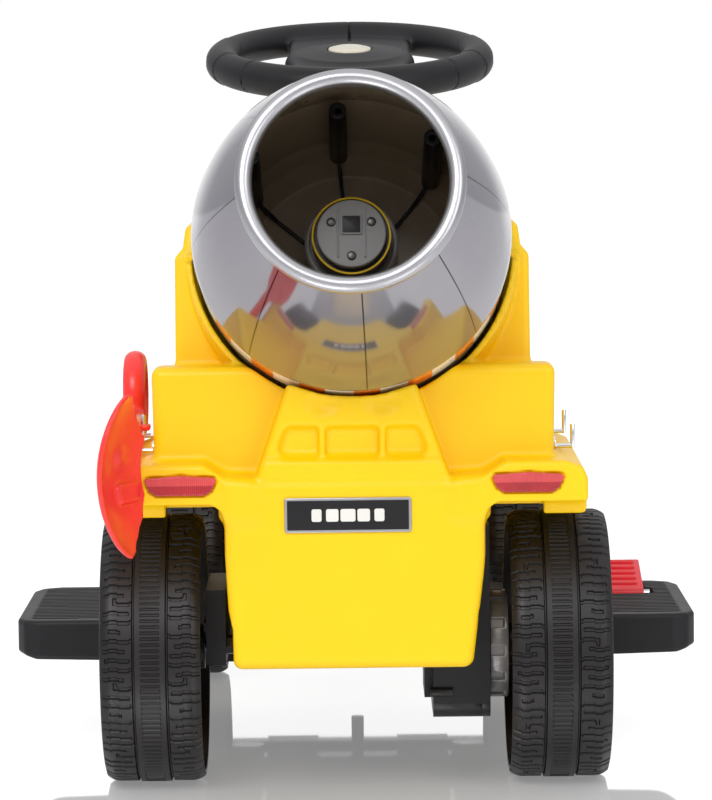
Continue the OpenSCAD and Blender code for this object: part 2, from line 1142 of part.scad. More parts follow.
module body_screws() {
    color("silver")
        both_sides()
            for (y = [-120, -40, 60, 115])
                translate([52, y, tray_z0 - 2.5])
                    cylinder(r = 4, h = 2.5, $fn = 24);
}

module charge_socket() {
    color("dimgray")
        difference() {
            union() {
                rod_x(8, tub_x, tub_x + 2.5, 40, 150);
                rod_x(3, tub_x - 8, tub_x + 2, 40, 150);
            }
            rod_x(1.6, tub_x - 6, tub_x + 3, 40, 150);
        }
}

module seat() {
    color("dimgray")
        difference() {
            along_x(-76.2, 76.2)
                polygon([[-66, 213], [-66, 238], [-60, 242], [-48, 236], [-30, 230],
                         [90, 228], [112, 233], [120, 233], [125, 226], [125, 213]]);
            along_x(-73, 73)
                polygon([[-62, 212], [-62, 234], [-50, 232], [-30, 226], [90, 224],
                         [108, 226], [108, 212]]);
            rod_x(2 + fit, -90, 90, seat_hinge_y, seat_hinge_z);
            both_sides()
                box([60, seat_hinge_y - 12, 212], [73, 127, seat_hinge_z + 9]);
        }
}

module seat_pin() {
    color("silver")
        rod_x(2, -72, 72, seat_hinge_y, seat_hinge_z);
}

module power_button() {
    color("red")
        at_column()
            translate([42, -24, dash_c - 5]) {
                cylinder(r = 8, h = 15);
                cylinder(r = 9.5, h = 3);
            }
}

module music_button() {
    color("royalblue")
        at_column()
            translate([-42, -24, dash_c - 5]) {
                cylinder(r = 6, h = 14);
                cylinder(r = 7.5, h = 3);
            }
}

module direction_switch() {
    color("black")
        at_column() {
            translate([35, 14, dash_c + 3])
                rotate([90, 0, 90])
                    linear_extrude(14)
                        polygon([[-9.5, -3], [-11, 5], [0, 3.5], [11, 5], [9.5, -3],
                                 [0, -6]]);
            translate([33, 14, dash_c + 3])
                rotate([0, 90, 0])
                    cylinder(r = 2, h = 18);
        }
}

// ---- Assembly ----

rear_body();
seat_tub();
front_body();
chassis();
footrest_left();
footrest_right();
rear_plate();
plate_frame();
tail_light_left();
tail_light_right();
headlights();
grille();
front_bumper();
dashboard();
drum_spindle();
spindle_nut();
spindle_cap();
spindle_screws();
tool_hooks();
rear_axle();
axle_washers();
gearbox_case();
gearbox_cover();
motor();
battery();
column_bush();
body_screws();
charge_socket();
pedal_pin();
drum_rear_cone();
drum_band();
drum_front_shell();
drum_rim();
drum_sleeve();
steering_wheel();
steering_column();
horn_button();
tie_rod();
knuckle_left();
knuckle_right();
stub_axle_left();
stub_axle_right();
wheel_rear_left();
wheel_rear_right();
wheel_front_left();
wheel_front_right();
hub_cap_rear_left();
hub_cap_rear_right();
hub_cap_front_left();
hub_cap_front_right();
drive_hub();
output_gear();
motor_pinion();
accelerator_pedal();
shovel();
seat();
seat_pin();
power_button();
direction_switch();
music_button();
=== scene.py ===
"""Looks of the toy cement mixer truck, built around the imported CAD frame.

Lengths inside the builders are millimetres in the row frame; meshes are stored in metres.
"""

import json
import math

import bmesh
import bpy
import numpy as np
from mathutils import Matrix, Vector


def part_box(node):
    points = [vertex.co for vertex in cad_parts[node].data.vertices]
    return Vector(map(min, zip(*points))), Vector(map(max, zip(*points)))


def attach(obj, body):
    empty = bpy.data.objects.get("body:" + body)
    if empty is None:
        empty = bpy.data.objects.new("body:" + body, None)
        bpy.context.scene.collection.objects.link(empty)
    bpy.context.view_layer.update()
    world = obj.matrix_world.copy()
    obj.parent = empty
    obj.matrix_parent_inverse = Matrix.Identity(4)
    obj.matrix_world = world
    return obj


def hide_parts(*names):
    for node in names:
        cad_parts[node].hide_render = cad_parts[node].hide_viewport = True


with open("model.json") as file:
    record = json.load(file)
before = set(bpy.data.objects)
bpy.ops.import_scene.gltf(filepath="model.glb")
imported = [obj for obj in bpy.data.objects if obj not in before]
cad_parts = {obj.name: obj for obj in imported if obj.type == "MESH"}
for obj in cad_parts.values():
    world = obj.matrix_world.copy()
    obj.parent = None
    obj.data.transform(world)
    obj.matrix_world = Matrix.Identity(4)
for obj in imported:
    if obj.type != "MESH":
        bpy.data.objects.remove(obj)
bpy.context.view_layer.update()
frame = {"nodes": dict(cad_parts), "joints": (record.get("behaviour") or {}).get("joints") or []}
MM = 0.001
FINE = 1.6
SIDES = (("left", -1), ("right", 1))


def corners(node):
    """Lowest and highest corner of a CAD node, in millimetres."""
    low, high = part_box(node)
    return np.array(low) / MM, np.array(high) / MM


def joint_place(name):
    """A joint's origin in millimetres, its tilt in degrees, and the place with both."""
    joint = next(j for j in frame["joints"] if j["name"] == name)
    origin = Vector(joint["pos_m"]) / MM
    tilt = math.degrees(math.atan2(-joint["axis"][1], joint["axis"][2]))
    return origin, tilt, moved(origin) @ spin(tilt, "X")


def moved(origin):
    return Matrix.Translation(Vector(origin))


def spin(angle, axis):
    """A turn by an angle in degrees about one axis."""
    return Matrix.Rotation(math.radians(angle), 4, axis)


def new_object(name, data):
    """An object in the scene."""
    thing = bpy.data.objects.new(name, data)
    bpy.context.scene.collection.objects.link(thing)
    return thing


# ---- materials


def new_material(name):
    material = bpy.data.materials.new(name)
    material.use_nodes = True
    tree = material.node_tree
    shader = tree.nodes["Principled BSDF"]
    return material, tree, shader


def set_inputs(node, **values):
    """Sets a node's sockets. An underscore in a name stands for a space."""
    for name, value in values.items():
        node.inputs[name.replace("_", " ")].default_value = value


def coordinates(tree, kind="Object"):
    return tree.nodes.new("ShaderNodeTexCoord").outputs[kind]


def feed(output, node, socket):
    """Links an output to one of a node's sockets, by name or number."""
    output.id_data.links.new(output, node.inputs[socket])


def object_noise(tree, scale, detail=3.0):
    """A noise texture in object space, scale in features per metre."""
    noise = tree.nodes.new("ShaderNodeTexNoise")
    set_inputs(noise, Scale=scale, Detail=detail, Roughness=0.55)
    feed(coordinates(tree), noise, "Vector")
    return noise.outputs["Fac"]


def ramp(source, low, high, start=0.35, end=0.65):
    """A two-colour ramp driven by a value."""
    node = source.id_data.nodes.new("ShaderNodeValToRGB")
    for stop, at, colour in zip(node.color_ramp.elements, (start, end), (low, high)):
        stop.position = at
        stop.color = (*colour, 1)
    feed(source, node, "Fac")
    return node.outputs["Color"]


def span(source, low, high):
    """Maps a 0 to 1 value to low to high."""
    node = source.id_data.nodes.new("ShaderNodeMapRange")
    set_inputs(node, To_Min=low, To_Max=high)
    feed(source, node, "Value")
    return node.outputs["Result"]


def add_bump(shader, height, strength, distance):
    node = height.id_data.nodes.new("ShaderNodeBump")
    set_inputs(node, Strength=strength, Distance=distance)
    feed(height, node, "Height")
    feed(node.outputs["Normal"], shader, "Normal")


def plastic(name, colour, rough, vary=0.06, grain=900.0, bump=0.15, coat=0.0, metal=0.0,
            specular=0.5, subsurface=0.0):
    """Moulded plastic or painted metal: slow colour drift, moulding grain and uneven gloss."""
    material, tree, shader = new_material(name)
    drift = object_noise(tree, 14.0, detail=4.0)
    light = tuple(min(1.0, c * (1 + vary)) for c in colour)
    dark = tuple(c * (1 - vary) for c in colour)
    feed(ramp(drift, dark, light), shader, "Base Color")
    feed(span(drift, rough * 0.8, rough * 1.2), shader, "Roughness")
    fine = object_noise(tree, grain, detail=2.0)
    add_bump(shader, fine, bump, 0.0002)
    set_inputs(shader, Metallic=metal, Specular_IOR_Level=specular, Coat_Weight=coat,
               Coat_Roughness=0.08)
    if subsurface:
        set_inputs(shader, Subsurface_Weight=subsurface, Subsurface_Scale=0.004)
    return material


YELLOW = plastic("yellow_shell", (0.94, 0.595, 0.001), 0.38, vary=0.02, grain=500, bump=0.06,
                 specular=0.36, subsurface=0.05)
BLACK = plastic("black_satin", (0.010, 0.0095, 0.011), 0.36, vary=0.2, grain=1400, bump=0.3,
                specular=0.35)
BLACK_SOFT = plastic("black_grained", (0.011, 0.010, 0.012), 0.46, vary=0.2, grain=1800,
                     bump=0.5, specular=0.3)
TREAD = plastic("tread_black", (0.009, 0.0075, 0.0085), 0.40, vary=0.25, grain=700, bump=0.3,
                specular=0.4)
RED = plastic("red_shell", (0.80, 0.018, 0.028), 0.30, vary=0.05, grain=600, bump=0.1,
              subsurface=0.1)
SHOVEL_RED = plastic("shovel_red", (0.90, 0.040, 0.035), 0.26, vary=0.05, grain=500,
                     bump=0.06, subsurface=0.3)
SILVER = plastic("silver_paint", (0.44, 0.44, 0.46), 0.30, vary=0.03, grain=1600, bump=0.12,
                 metal=0.9)
# Silver plastic drawn as a darker, matte grey for the spindle cap and drum collar: painted
# shade, since these parts sit in shade.
SILVER_IN_PAINTED_SHADE = plastic("silver_painted_shade", (0.33, 0.33, 0.34), 0.42, vary=0.05, grain=900, bump=0.2)
SCREW_DARK = plastic("screw_dark", (0.10, 0.095, 0.09), 0.30, vary=0.1, grain=900, bump=0.2,
                     metal=0.9)
STEEL = plastic("bright_steel", (0.70, 0.70, 0.72), 0.24, vary=0.06, grain=1200, bump=0.2,
                metal=1.0)
CHROME = plastic("chrome_wire", (0.82, 0.82, 0.84), 0.10, vary=0.03, grain=300, bump=0.03,
                 metal=1.0)
GREY = plastic("grey_hub", (0.30, 0.29, 0.29), 0.34, vary=0.08, grain=900, bump=0.2,
               metal=0.3)
NYLON = plastic("white_nylon", (0.75, 0.74, 0.69), 0.45, vary=0.04, grain=600, bump=0.1)
CREAM = plastic("cream_disc", (0.66, 0.60, 0.48), 0.22, vary=0.05, grain=600, bump=0.05,
                coat=0.4)
BLUE = plastic("blue_button", (0.03, 0.14, 0.55), 0.30, vary=0.05, grain=600, bump=0.1)
BATTERY = plastic("battery_case", (0.05, 0.055, 0.065), 0.55, vary=0.15, grain=900, bump=0.4)
LAMP_CLEAR = plastic("lamp_clear", (0.78, 0.80, 0.82), 0.10, vary=0.04, grain=250, bump=0.6,
                     coat=0.8, metal=0.3)
SLOTS = {YELLOW: "yellow_plastic", BLACK: "black_plastic", BLACK_SOFT: "black_plastic",
         RED: "red_plastic", SHOVEL_RED: "red_plastic", SILVER: "silver_plastic",
         SILVER_IN_PAINTED_SHADE: "silver_plastic", SCREW_DARK: "steel", NYLON: "white_nylon",
         CREAM: "cream_plastic", LAMP_CLEAR: "clear_lens"}

# ---- mesh making


def link(name, mesh, material, body, *nodes, slot=None):
    """Puts a mesh in the scene on a CAD body, in place of CAD nodes."""
    mesh.name = name
    mesh.materials.append(material)
    piece = new_object(name, mesh)
    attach(piece, body)
    if nodes:
        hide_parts(*nodes)
    slot or SLOTS[material]
    return piece


def to_mesh(points, faces, sharp):
    """A smooth mesh from points in millimetres, with edges sharper than an angle kept."""
    mesh = bpy.data.meshes.new("solid")
    mesh.from_pydata([tuple(p) for p in np.asarray(points) * MM], [], faces)
    mesh.validate()
    mesh.polygons.foreach_set("use_smooth", [True] * len(mesh.polygons))
    mesh.set_sharp_from_angle(angle=math.radians(sharp))
    mesh.update()
    return mesh


def rounded(points, radius, steps=4):
    """A closed outline with its corners rounded. A point may carry its own radius third."""
    out = []
    n = len(points)
    for i in range(n):
        a, b, c = (np.array(points[(i + k) % n][:2], float) for k in (-1, 0, 1))
        r = points[i][2] if len(points[i]) > 2 else radius
        u, v = a - b, c - b
        lu, lv = np.linalg.norm(u), np.linalg.norm(v)
        u, v = u / lu, v / lv
        half = math.acos(max(-1.0, min(1.0, float(u @ v)))) / 2
        if r <= 0 or half > 1.54:
            out.append(tuple(b))
            continue
        reach = min(r / math.tan(half), 0.49 * lu, 0.49 * lv)
        r = reach * math.tan(half)
        centre = b + (u + v) / np.linalg.norm(u + v) * (r / math.sin(half))
        p, q = b + u * reach - centre, b + v * reach - centre
        a0 = math.atan2(p[1], p[0])
        turn = math.atan2(p[0] * q[1] - p[1] * q[0], float(p @ q))
        for k in range(steps + 1):
            t = a0 + turn * k / steps
            out.append((centre[0] + r * math.cos(t), centre[1] + r * math.sin(t)))
    return out


def rectangle(x0, y0, x1, y1):
    return [(x0, y0), (x1, y0), (x1, y1), (x0, y1)]


def turned(outline, place, segments, sharp=30):
    """Revolves a closed outline of (radius, along) points about the local Z of place."""
    rad, along = np.array(outline, float).T
    n = len(rad)
    angle = np.arange(segments)[:, None] * 2 * math.pi / segments
    x, y = np.cos(angle) * rad, np.sin(angle) * rad
    points = np.stack([x, y, np.broadcast_to(along, x.shape)], -1).reshape(-1, 3)
    faces = []
    for i in range(segments):
        j = (i + 1) % segments
        for k in range(n):
            m = (k + 1) % n
            if rad[k] < 1e-6 and rad[m] < 1e-6:
                continue
            faces.append((i * n + k, j * n + k, j * n + m, i * n + m))
    m = np.array(place)
    return weld(to_mesh(points @ m[:3, :3].T + m[:3, 3], faces, sharp))


def weld(mesh):
    """Merges doubled points, such as those on a lathe's axis."""
    work = bmesh.new()
    work.from_mesh(mesh)
    bmesh.ops.remove_doubles(work, verts=work.verts, dist=1e-6)
    bmesh.ops.recalc_face_normals(work, faces=work.faces)
    work.to_mesh(mesh)
    work.free()
    return mesh


def ccw(points):
    """The outline as an array that runs counter-clockwise."""
    points = np.array(points, float)
    after = np.roll(points, -1, 0)
    area = np.sum(points[:, 0] * after[:, 1] - after[:, 0] * points[:, 1])
    return points if area > 0 else points[::-1]


def prism(outline, low, high, axis="Y", bevel=1.0, steps=3, place=None):
    """Extrudes an outline along an axis, with rounded end edges.

    The outline is in (X, Z) for axis Y, (Y, Z) for axis X and (X, Y) for axis Z.
    """
    outline = ccw(outline)
    order = {"X": [2, 0, 1], "Y": [0, 2, 1], "Z": [0, 1, 2]}[axis]
    rings = []
    for k in range(steps + 1):
        t = math.pi / 2 * k / steps
        rings.append((bevel * (1 - math.sin(t)), low + bevel * (1 - math.cos(t))))
    back = [(inset, high + low - at) for inset, at in reversed(rings)]
    points, faces = [], []
    n = len(outline)
    for inset, at in rings + back:
        ring = inset_outline(outline, inset)
        points.append(np.column_stack([ring, np.full(n, at)])[:, order])
    total = len(rings) * 2
    for r in range(total - 1):
        for i in range(n):
            j = (i + 1) % n
            faces.append((r * n + i, r * n + j, (r + 1) * n + j, (r + 1) * n + i))
    faces.append(tuple(range(n)))
    faces.append(tuple((total - 1) * n + i for i in range(n)))
    mesh = weld(to_mesh(np.concatenate(points), faces, 35))
    if place is not None:
        m = place.copy()
        m.translation = m.translation * MM
        mesh.transform(m)
    return mesh


def inset_outline(outline, distance):
    """Moves each edge of a counter-clockwise outline inward."""
    if distance == 0:
        return outline
    edge = np.roll(outline, -1, 0) - outline
    edge /= np.linalg.norm(edge, axis=1, keepdims=True)
    normal = np.stack([-edge[:, 1], edge[:, 0]], -1)
    before = np.roll(normal, 1, 0)
    bisector = normal + before
    scale = 2 / np.maximum(np.sum(bisector * bisector, 1, keepdims=True), 0.5)
    return outline + bisector * scale * distance


def joined(meshes):
    """One mesh from several."""
    points, faces, base = [], [], 0
    for mesh in meshes:
        co = np.zeros(len(mesh.vertices) * 3, np.float32)
        mesh.vertices.foreach_get("co", co)
        points.append(co.reshape(-1, 3) / MM)
        faces += [tuple(base + v for v in p.vertices) for p in mesh.polygons]
        base += len(mesh.vertices)
    return to_mesh(np.concatenate(points), faces, 35)


# ---- solid fields


def smooth_min(a, b, k):
    """Union of two distance fields with a fillet of about k."""
    h = np.maximum(k - np.abs(a - b), 0) / k
    return np.minimum(a, b) - h * h * k / 4


def smooth_max(a, b, k):
    return -smooth_min(-a, -b, k)


def cut(a, b, k=1.5):
    """Takes solid b out of solid a."""
    return smooth_max(a, -b, k)


def block(p, low, high, r):
    """Distance to a box with rounded edges."""
    low, high = np.array(low, float), np.array(high, float)
    q = np.abs(p - (low + high) / 2) - ((high - low) / 2 - r)
    outside = np.sqrt((np.maximum(q, 0) ** 2).sum(-1))
    return outside + np.minimum(q.max(-1), 0) - r


def outline_distance(u, v, points):
    """Signed distance in the plane to a closed outline."""
    points = np.array(points, float)
    best = np.full(u.shape, 1e9, np.float32)
    sign = np.ones(u.shape, np.float32)
    n = len(points)
    for i in range(n):
        a, b = points[i], points[i - 1]
        ex, ey = b - a
        wx, wy = u - a[0], v - a[1]
        t = np.clip((wx * ex + wy * ey) / (ex * ex + ey * ey), 0, 1)
        best = np.minimum(best, (wx - ex * t) ** 2 + (wy - ey * t) ** 2)
        c1, c2 = v >= a[1], v < b[1]
        c3 = ex * wy > ey * wx
        flip = (c1 & c2 & c3) | (~c1 & ~c2 & ~c3)
        sign = np.where(flip, -sign, sign)
    return sign * np.sqrt(best)


AXES = {"X": (1, 2, 0), "Y": (0, 2, 1), "Z": (0, 1, 2)}


def rod(p, axis, centre, r):
    """Distance to an endless rod along an axis."""
    u, v, _ = AXES[axis]
    return np.sqrt((p[..., u] - centre[0]) ** 2 + (p[..., v] - centre[1]) ** 2) - r


def slab(p, axis, points, low, high, r):
    """Distance to an outline extruded along an axis, with every edge rounded by r."""
    u, v, w = AXES[axis]
    flat = outline_distance(p[..., u], p[..., v], inset_outline(ccw(points), r))
    deep = np.abs(p[..., w] - (low + high) / 2) - ((high - low) / 2 - r)
    outside = np.sqrt(np.maximum(flat, 0) ** 2 + np.maximum(deep, 0) ** 2)
    return outside + np.minimum(np.maximum(flat, deep), 0) - r


def local(p, place):
    """Points seen from a place."""
    m = np.array(place.inverted())
    return p @ m[:3, :3].T.astype(np.float32) + m[:3, 3].astype(np.float32)


def lathed(q, points, r):
    """Distance to an outline of (radius, along) turned about local Z."""
    outline = inset_outline(ccw(points), r)
    return outline_distance(rod(q, "Z", (0, 0), 0), q[..., 2], outline) - r


def tube(p, a, b, r):
    """Distance to a round-ended rod."""
    a, b = np.array(a, float), np.array(b, float)
    ab = b - a
    t = np.clip(((p - a) @ ab) / (ab @ ab), 0, 1)
    return np.linalg.norm(p - a - t[..., None] * ab, axis=-1) - r


def both(p):
    """Folds points onto the right half."""
    q = p.copy()
    q[..., 0] = np.abs(q[..., 0])
    return q


def meshed(field, low, high, step):
    """A smooth mesh of a distance field's zero level, by surface nets and Newton steps."""
    low, high = np.array(low, float) - 2 * step, np.array(high, float) + 2 * step
    count = np.ceil((high - low) / step).astype(int) + 1
    axes = [low[i] + step * np.arange(count[i]) for i in range(3)]
    value = np.empty(count, np.float32)
    band = max(1, int(1.2e6 / (count[1] * count[2])))
    for i in range(0, count[0], band):
        grid = np.stack(np.meshgrid(axes[0][i:i + band], axes[1], axes[2], indexing="ij"), -1)
        value[i:i + band] = field(grid.astype(np.float32))
    inside = value < 0
    corner = list(np.ndindex(2, 2, 2))
    cells = count - 1
    held = sum(inside[i:i + cells[0], j:j + cells[1], k:k + cells[2]].astype(np.int8)
               for i, j, k in corner)
    active = np.argwhere((held > 0) & (held < 8))
    index = np.full(cells, -1, np.int32)
    index[tuple(active.T)] = np.arange(len(active))
    total = np.zeros((len(active), 3), np.float32)
    hits = np.zeros(len(active), np.float32)
    for c in corner:
        for axis in range(3):
            if c[axis]:
                continue
            d = list(c)
            d[axis] = 1
            va = value[tuple((active + c).T)]
            vb = value[tuple((active + d).T)]
            crossing = (va < 0) != (vb < 0)
            t = np.where(crossing, va / np.where(crossing, va - vb, 1), 0)
            at = np.array(c, np.float32) + t[:, None] * np.eye(3, dtype=np.float32)[axis]
            total += at * crossing[:, None]
            hits += crossing
    points = low + step * (active + total / hits[:, None])
    faces = []
    for axis in range(3):
        a1, a2 = (axis + 1) % 3, (axis + 2) % 3
        where = np.argwhere(np.diff(inside, axis=axis))
        keep = ((where[:, a1] > 0) & (where[:, a2] > 0)
                & (where[:, a1] < cells[a1]) & (where[:, a2] < cells[a2]))
        where = where[keep]
        out = inside[tuple(where.T)]
        quad = []
        for s1, s2 in ((1, 1), (0, 1), (0, 0), (1, 0)):
            at = where.copy()
            at[:, a1] -= s1
            at[:, a2] -= s2
            quad.append(index[tuple(at.T)])
        quad = np.stack(quad, -1)
        quad[~out] = quad[~out][:, ::-1]
        faces.append(quad)
    faces = np.concatenate(faces)
    points, normals = settle(points, field, step)
    mesh = bpy.data.meshes.new("field")
    mesh.vertices.add(len(points))
    mesh.vertices.foreach_set("co", (points * MM).astype(np.float32).ravel())
    mesh.loops.add(faces.size)
    mesh.loops.foreach_set("vertex_index", faces.astype(np.int32).ravel())
    mesh.polygons.add(len(faces))
    mesh.polygons.foreach_set("loop_start", np.arange(len(faces), dtype=np.int32) * 4)
    mesh.update(calc_edges=True)
    mesh.validate()
    mesh.polygons.foreach_set("use_smooth", [True] * len(mesh.polygons))
    mesh.normals_split_custom_set_from_vertices(normals.tolist())
    return mesh


def settle(points, field, step):
    """Moves points onto the zero level and gives the normals there."""
    start = points.copy()
    e = 0.15

    def slope(at):
        base = at.astype(np.float32)
        g = np.stack([field(base + d) - field(base - d)
                      for d in e * np.eye(3, dtype=np.float32)], -1)
        size = np.linalg.norm(g, axis=1, keepdims=True)
        return g / np.maximum(size, 1e-6)

    for _ in range(3):
        d = field(points.astype(np.float32))
        points = points - slope(points) * d[:, None]
        move = points - start
        reach = np.linalg.norm(move, axis=1, keepdims=True)
        points = start + move * np.minimum(1, 0.9 * step / np.maximum(reach, 1e-6))
    return points, slope(points)


# ---- places

tail_low, tail_high = corners("rear_body")
TAIL_Y, FENDER_X = tail_low[1], tail_high[0]
DECK_FRONT, BACKREST_Z = tail_high[1], tail_high[2]
wheel_low, wheel_high = corners("wheel_rear_right")
AXLE_Y = (wheel_low[1] + wheel_high[1]) / 2
FRONT_Y = sum(c[1] for c in corners("wheel_front_right")) / 2
WHEEL_R = (wheel_high[1] - wheel_low[1]) / 2
WHEEL_IN, WHEEL_OUT = wheel_low[0], wheel_high[0]
DRUM_AT, DRUM_TILT, DRUM = joint_place("drum_spin")
DRUM_R = corners("drum_rear_cone")[1][0]
MOUTH_R = corners("drum_rim")[1][0] - 5
STEER = joint_place("steer")[2]
STEER_R = corners("steering_wheel")[1][0]

# ---- yellow shells

DRUM_SPACE = [(0, -122), (77, -122), (93, -98), (DRUM_R + 1.5, -30), (DRUM_R + 1.5, 3),
              (DRUM_R - 10, 48), (0, 48)]
LIP_Z = 182.5


def rear_shell(p):
    """Tail, fenders, shoulders, chute and drum cradle as one moulding."""
    q = both(p)
    apron = slab(p, "Y", [(-74, 82.5), (70, 82.5), (78.5, 150), (78.5, 197), (-78.5, 197),
                          (-78.5, 150)], TAIL_Y, -232, 6.5)
    deck = block(q, (-90, -246, 88), (69.5, DECK_FRONT, 197), 3)
    fender = slab(q, "Y", [(60, 173), (60, 196), (76, 198), (90, 207), (127, 207),
                           (FENDER_X - 3, 203), (FENDER_X, 196), (FENDER_X, 173)],
                  TAIL_Y, -80, 3.5)
    body = smooth_min(smooth_min(apron, deck, 3), fender, 8)
    trim = block(q, (78.5, TAIL_Y - 40, 60), (FENDER_X + 40, -250, LIP_Z), 10)
    body = cut(body, trim, 2)
    arch = rod(q, "X", (AXLE_Y, WHEEL_R), 95)
    body = cut(body, np.maximum(arch, 74 - q[..., 0]), 1.5)
    body = cut(body, block(q, (82, TAIL_Y + 4, 150), (114, -240, 186), 3), 1.5)
    body = cut(body, block(q, (70, -246, 150), (FENDER_X - 4, -84, 178), 2), 1)
    shoulder = slab(q, "Y", [(-90, 188), (120.5, 188), (122, 264), (-90, 264)],
                    -245, DECK_FRONT, 7)
    slope = slab(q, "X", [(-245, 185), (-245, 264), (-222, 264), (DECK_FRONT, 243),
                          (DECK_FRONT, 185)], -140, 140, 6)
    body = smooth_min(body, smooth_max(shoulder, slope, 3), 5)
    cradle = slab(q, "Y", [(-90, 200), (109.5, 200), (109.5, 326), (104.5, 332),
                           (102.5, BACKREST_Z), (-90, BACKREST_Z)], -190, DECK_FRONT, 5)
    side = slab(q, "X", [(-190, 195), (-190, 258), (-178, 330), (-171, BACKREST_Z),
                         (DECK_FRONT, BACKREST_Z), (DECK_FRONT, 195)], -140, 140, 6)
    body = smooth_min(body, smooth_max(cradle, side, 4), 5)
    body = smooth_min(body, chute_shell(p), 2.5)
    body = cut(body, lathed(local(p, DRUM), DRUM_SPACE, 1), 2)
    lip = lathed(local(p, DRUM), [(DRUM_R + 1.3, -90), (DRUM_R + 5, -90),
                                  (DRUM_R + 5, -32), (DRUM_R + 1.3, -32)], 1)
    body = smooth_min(body, np.maximum(lip, p[..., 2] - 325), 3)
    pedestal = lathed(local(p, DRUM), [(0, -160), (38, -160), (38, -126), (0, -126)], 2)
    body = smooth_min(body, np.maximum(pedestal, p[..., 1] - DECK_FRONT + 4), 5)
    hollow = block(q, (-90, -234, 40), (66, DECK_FRONT - 4, 190), 3)
    body = cut(body, hollow, 1)
    body = cut(body, block(p, (40, -216, 40), (90, -134, 164), 2), 1)
    for _, sign in SIDES[::-1]:
        lamp = slab(p, "Y", lamp_outline(sign), TAIL_Y - 5, TAIL_Y + 1.6, 1.5)
        body = cut(body, lamp, 0.8)
    return body


def chute_shell(p):
    """Sloping chute under the drum: top slope, ledge, recessed panel with ribs, lip."""
    q = p.copy()
    q[..., 0] = p[..., 0] + 1
    face = slab(q, "Y", [(-59, 184), (59, 184), (58.5, 197), (38, 256), (-38, 256),
                         (-58.5, 197)], TAIL_Y, -215, 5)
    side = slab(q, "X", [(TAIL_Y, 180), (TAIL_Y, 207), (-266, 211), (-266, 229),
                         (-264, 256), (-215, 256), (-215, 180)], -75, 75, 3.5)
    body = smooth_max(face, side, 5)
    panel = slab(q, "Y", [(-47, 210), (47, 210), (40, 229), (-40, 229)], -282, -260.5, 6)
    body = cut(body, panel, 3)
    for x in (-18, 18):
        rib = block(q, (x - 2, -265.5, 208), (x + 2, -250, 230), 1.8)
        body = smooth_min(body, rib, 3)
        dimple = np.linalg.norm((q - np.array([x, -275.5, 243], np.float32))
                                / np.array([1.2, 1, 0.8], np.float32), axis=-1) - 13
        body = cut(body, dimple, 3)
    return body


def lamp_outline(sign):
    """The left (-1) or right (1) tail light seen from behind."""
    points = [(81.5, 197.5), (84.5, 190.5), (89, 187.5), (119, 187.5), (123.5, 190.5),
              (126.5, 197.5), (125, 200), (104, 201.5), (83, 200)]
    return [(sign * x, z) for x, z in points]


def tub_shell(p):
    """Seat tub with grooved sides and the ears of the seat's hinge."""
    low, high = corners("seat_tub")
    z1 = high[2] - 9
    q = both(p)
    body = block(q, (-90, low[1], low[2]), (high[0], high[1], z1), 4)
    for y in (-45, 5, 55, 105):
        groove = block(q, (high[0] - 1.2, y - 12, 118), (high[0] + 9, y + 12, 190), 3)
        body = cut(body, groove, 1.5)
    body = cut(body, block(q, (-90, low[1] + 3.5, low[2] + 3.5),
                           (high[0] - 4, high[1] - 3.5, 240), 2), 1)
    ear = block(q, (62, 115, 196), (70, 129, high[2]), 1.5)
    ear = np.maximum(ear, -block(q, (50, 123.4, z1 - 0.2), (80, 140, 240), 0.5))
    return smooth_min(body, ear, 1.5)


def footrest_field(sign):
    """Footrest with a raised border, ribbed tread and, on the right, the pedal's pocket."""
    x = corners("footrest_right")[1][0]
    (px0, py0, _), (px1, _, _) = corners("accelerator_pedal")

    def field(p):
        q = p.copy()
        q[..., 0] = p[..., 0] * sign
        plan = slab(q, "Z", [(62, -75), (x - 15, -75), (x - 6, -72), (x, -62), (x, 68),
                             (x - 5, 83), (x - 18, 90), (62, 90)], 40, 110, 7)
        face = slab(q, "Y", [(62, 57), (x - 13, 60.5), (x, 64.5), (x, 86), (80.5, 86),
                             (80.5, 85), (62, 85)], -110, 120, 2.2)
        body = smooth_max(plan, face, 3.5)
        body = np.maximum(body, np.where(q[..., 0] < 80.6, q[..., 2] - 85, -9))
        sunk = block(q, (95, -68, 85), (x - 8, 82, 99), 4)
        rib = np.abs((q[..., 1] + 62.5) % 6.8 - 3.4) - 1.7
        body = cut(body, np.maximum(sunk, -rib), 0.5)
        slit = block(q, (x - 40, -66, 80), (x - 12, -63.6, 99), 0.8)
        body = cut(body, slit, 0.4)
        body = cut(body, np.maximum(plan + 5, q[..., 2] - 81.5), 1)
        if sign > 0:
            body = cut(body, block(q, (px0 - 1.2, py0 - 1.5, 84), (px1 + 1.2, 87, 99), 0.8), 0.5)
            body = cut(body, block(q, (136, 28, 64), (px1 + 6, 50, 99), 0.8), 0.5)
        return body

    return field


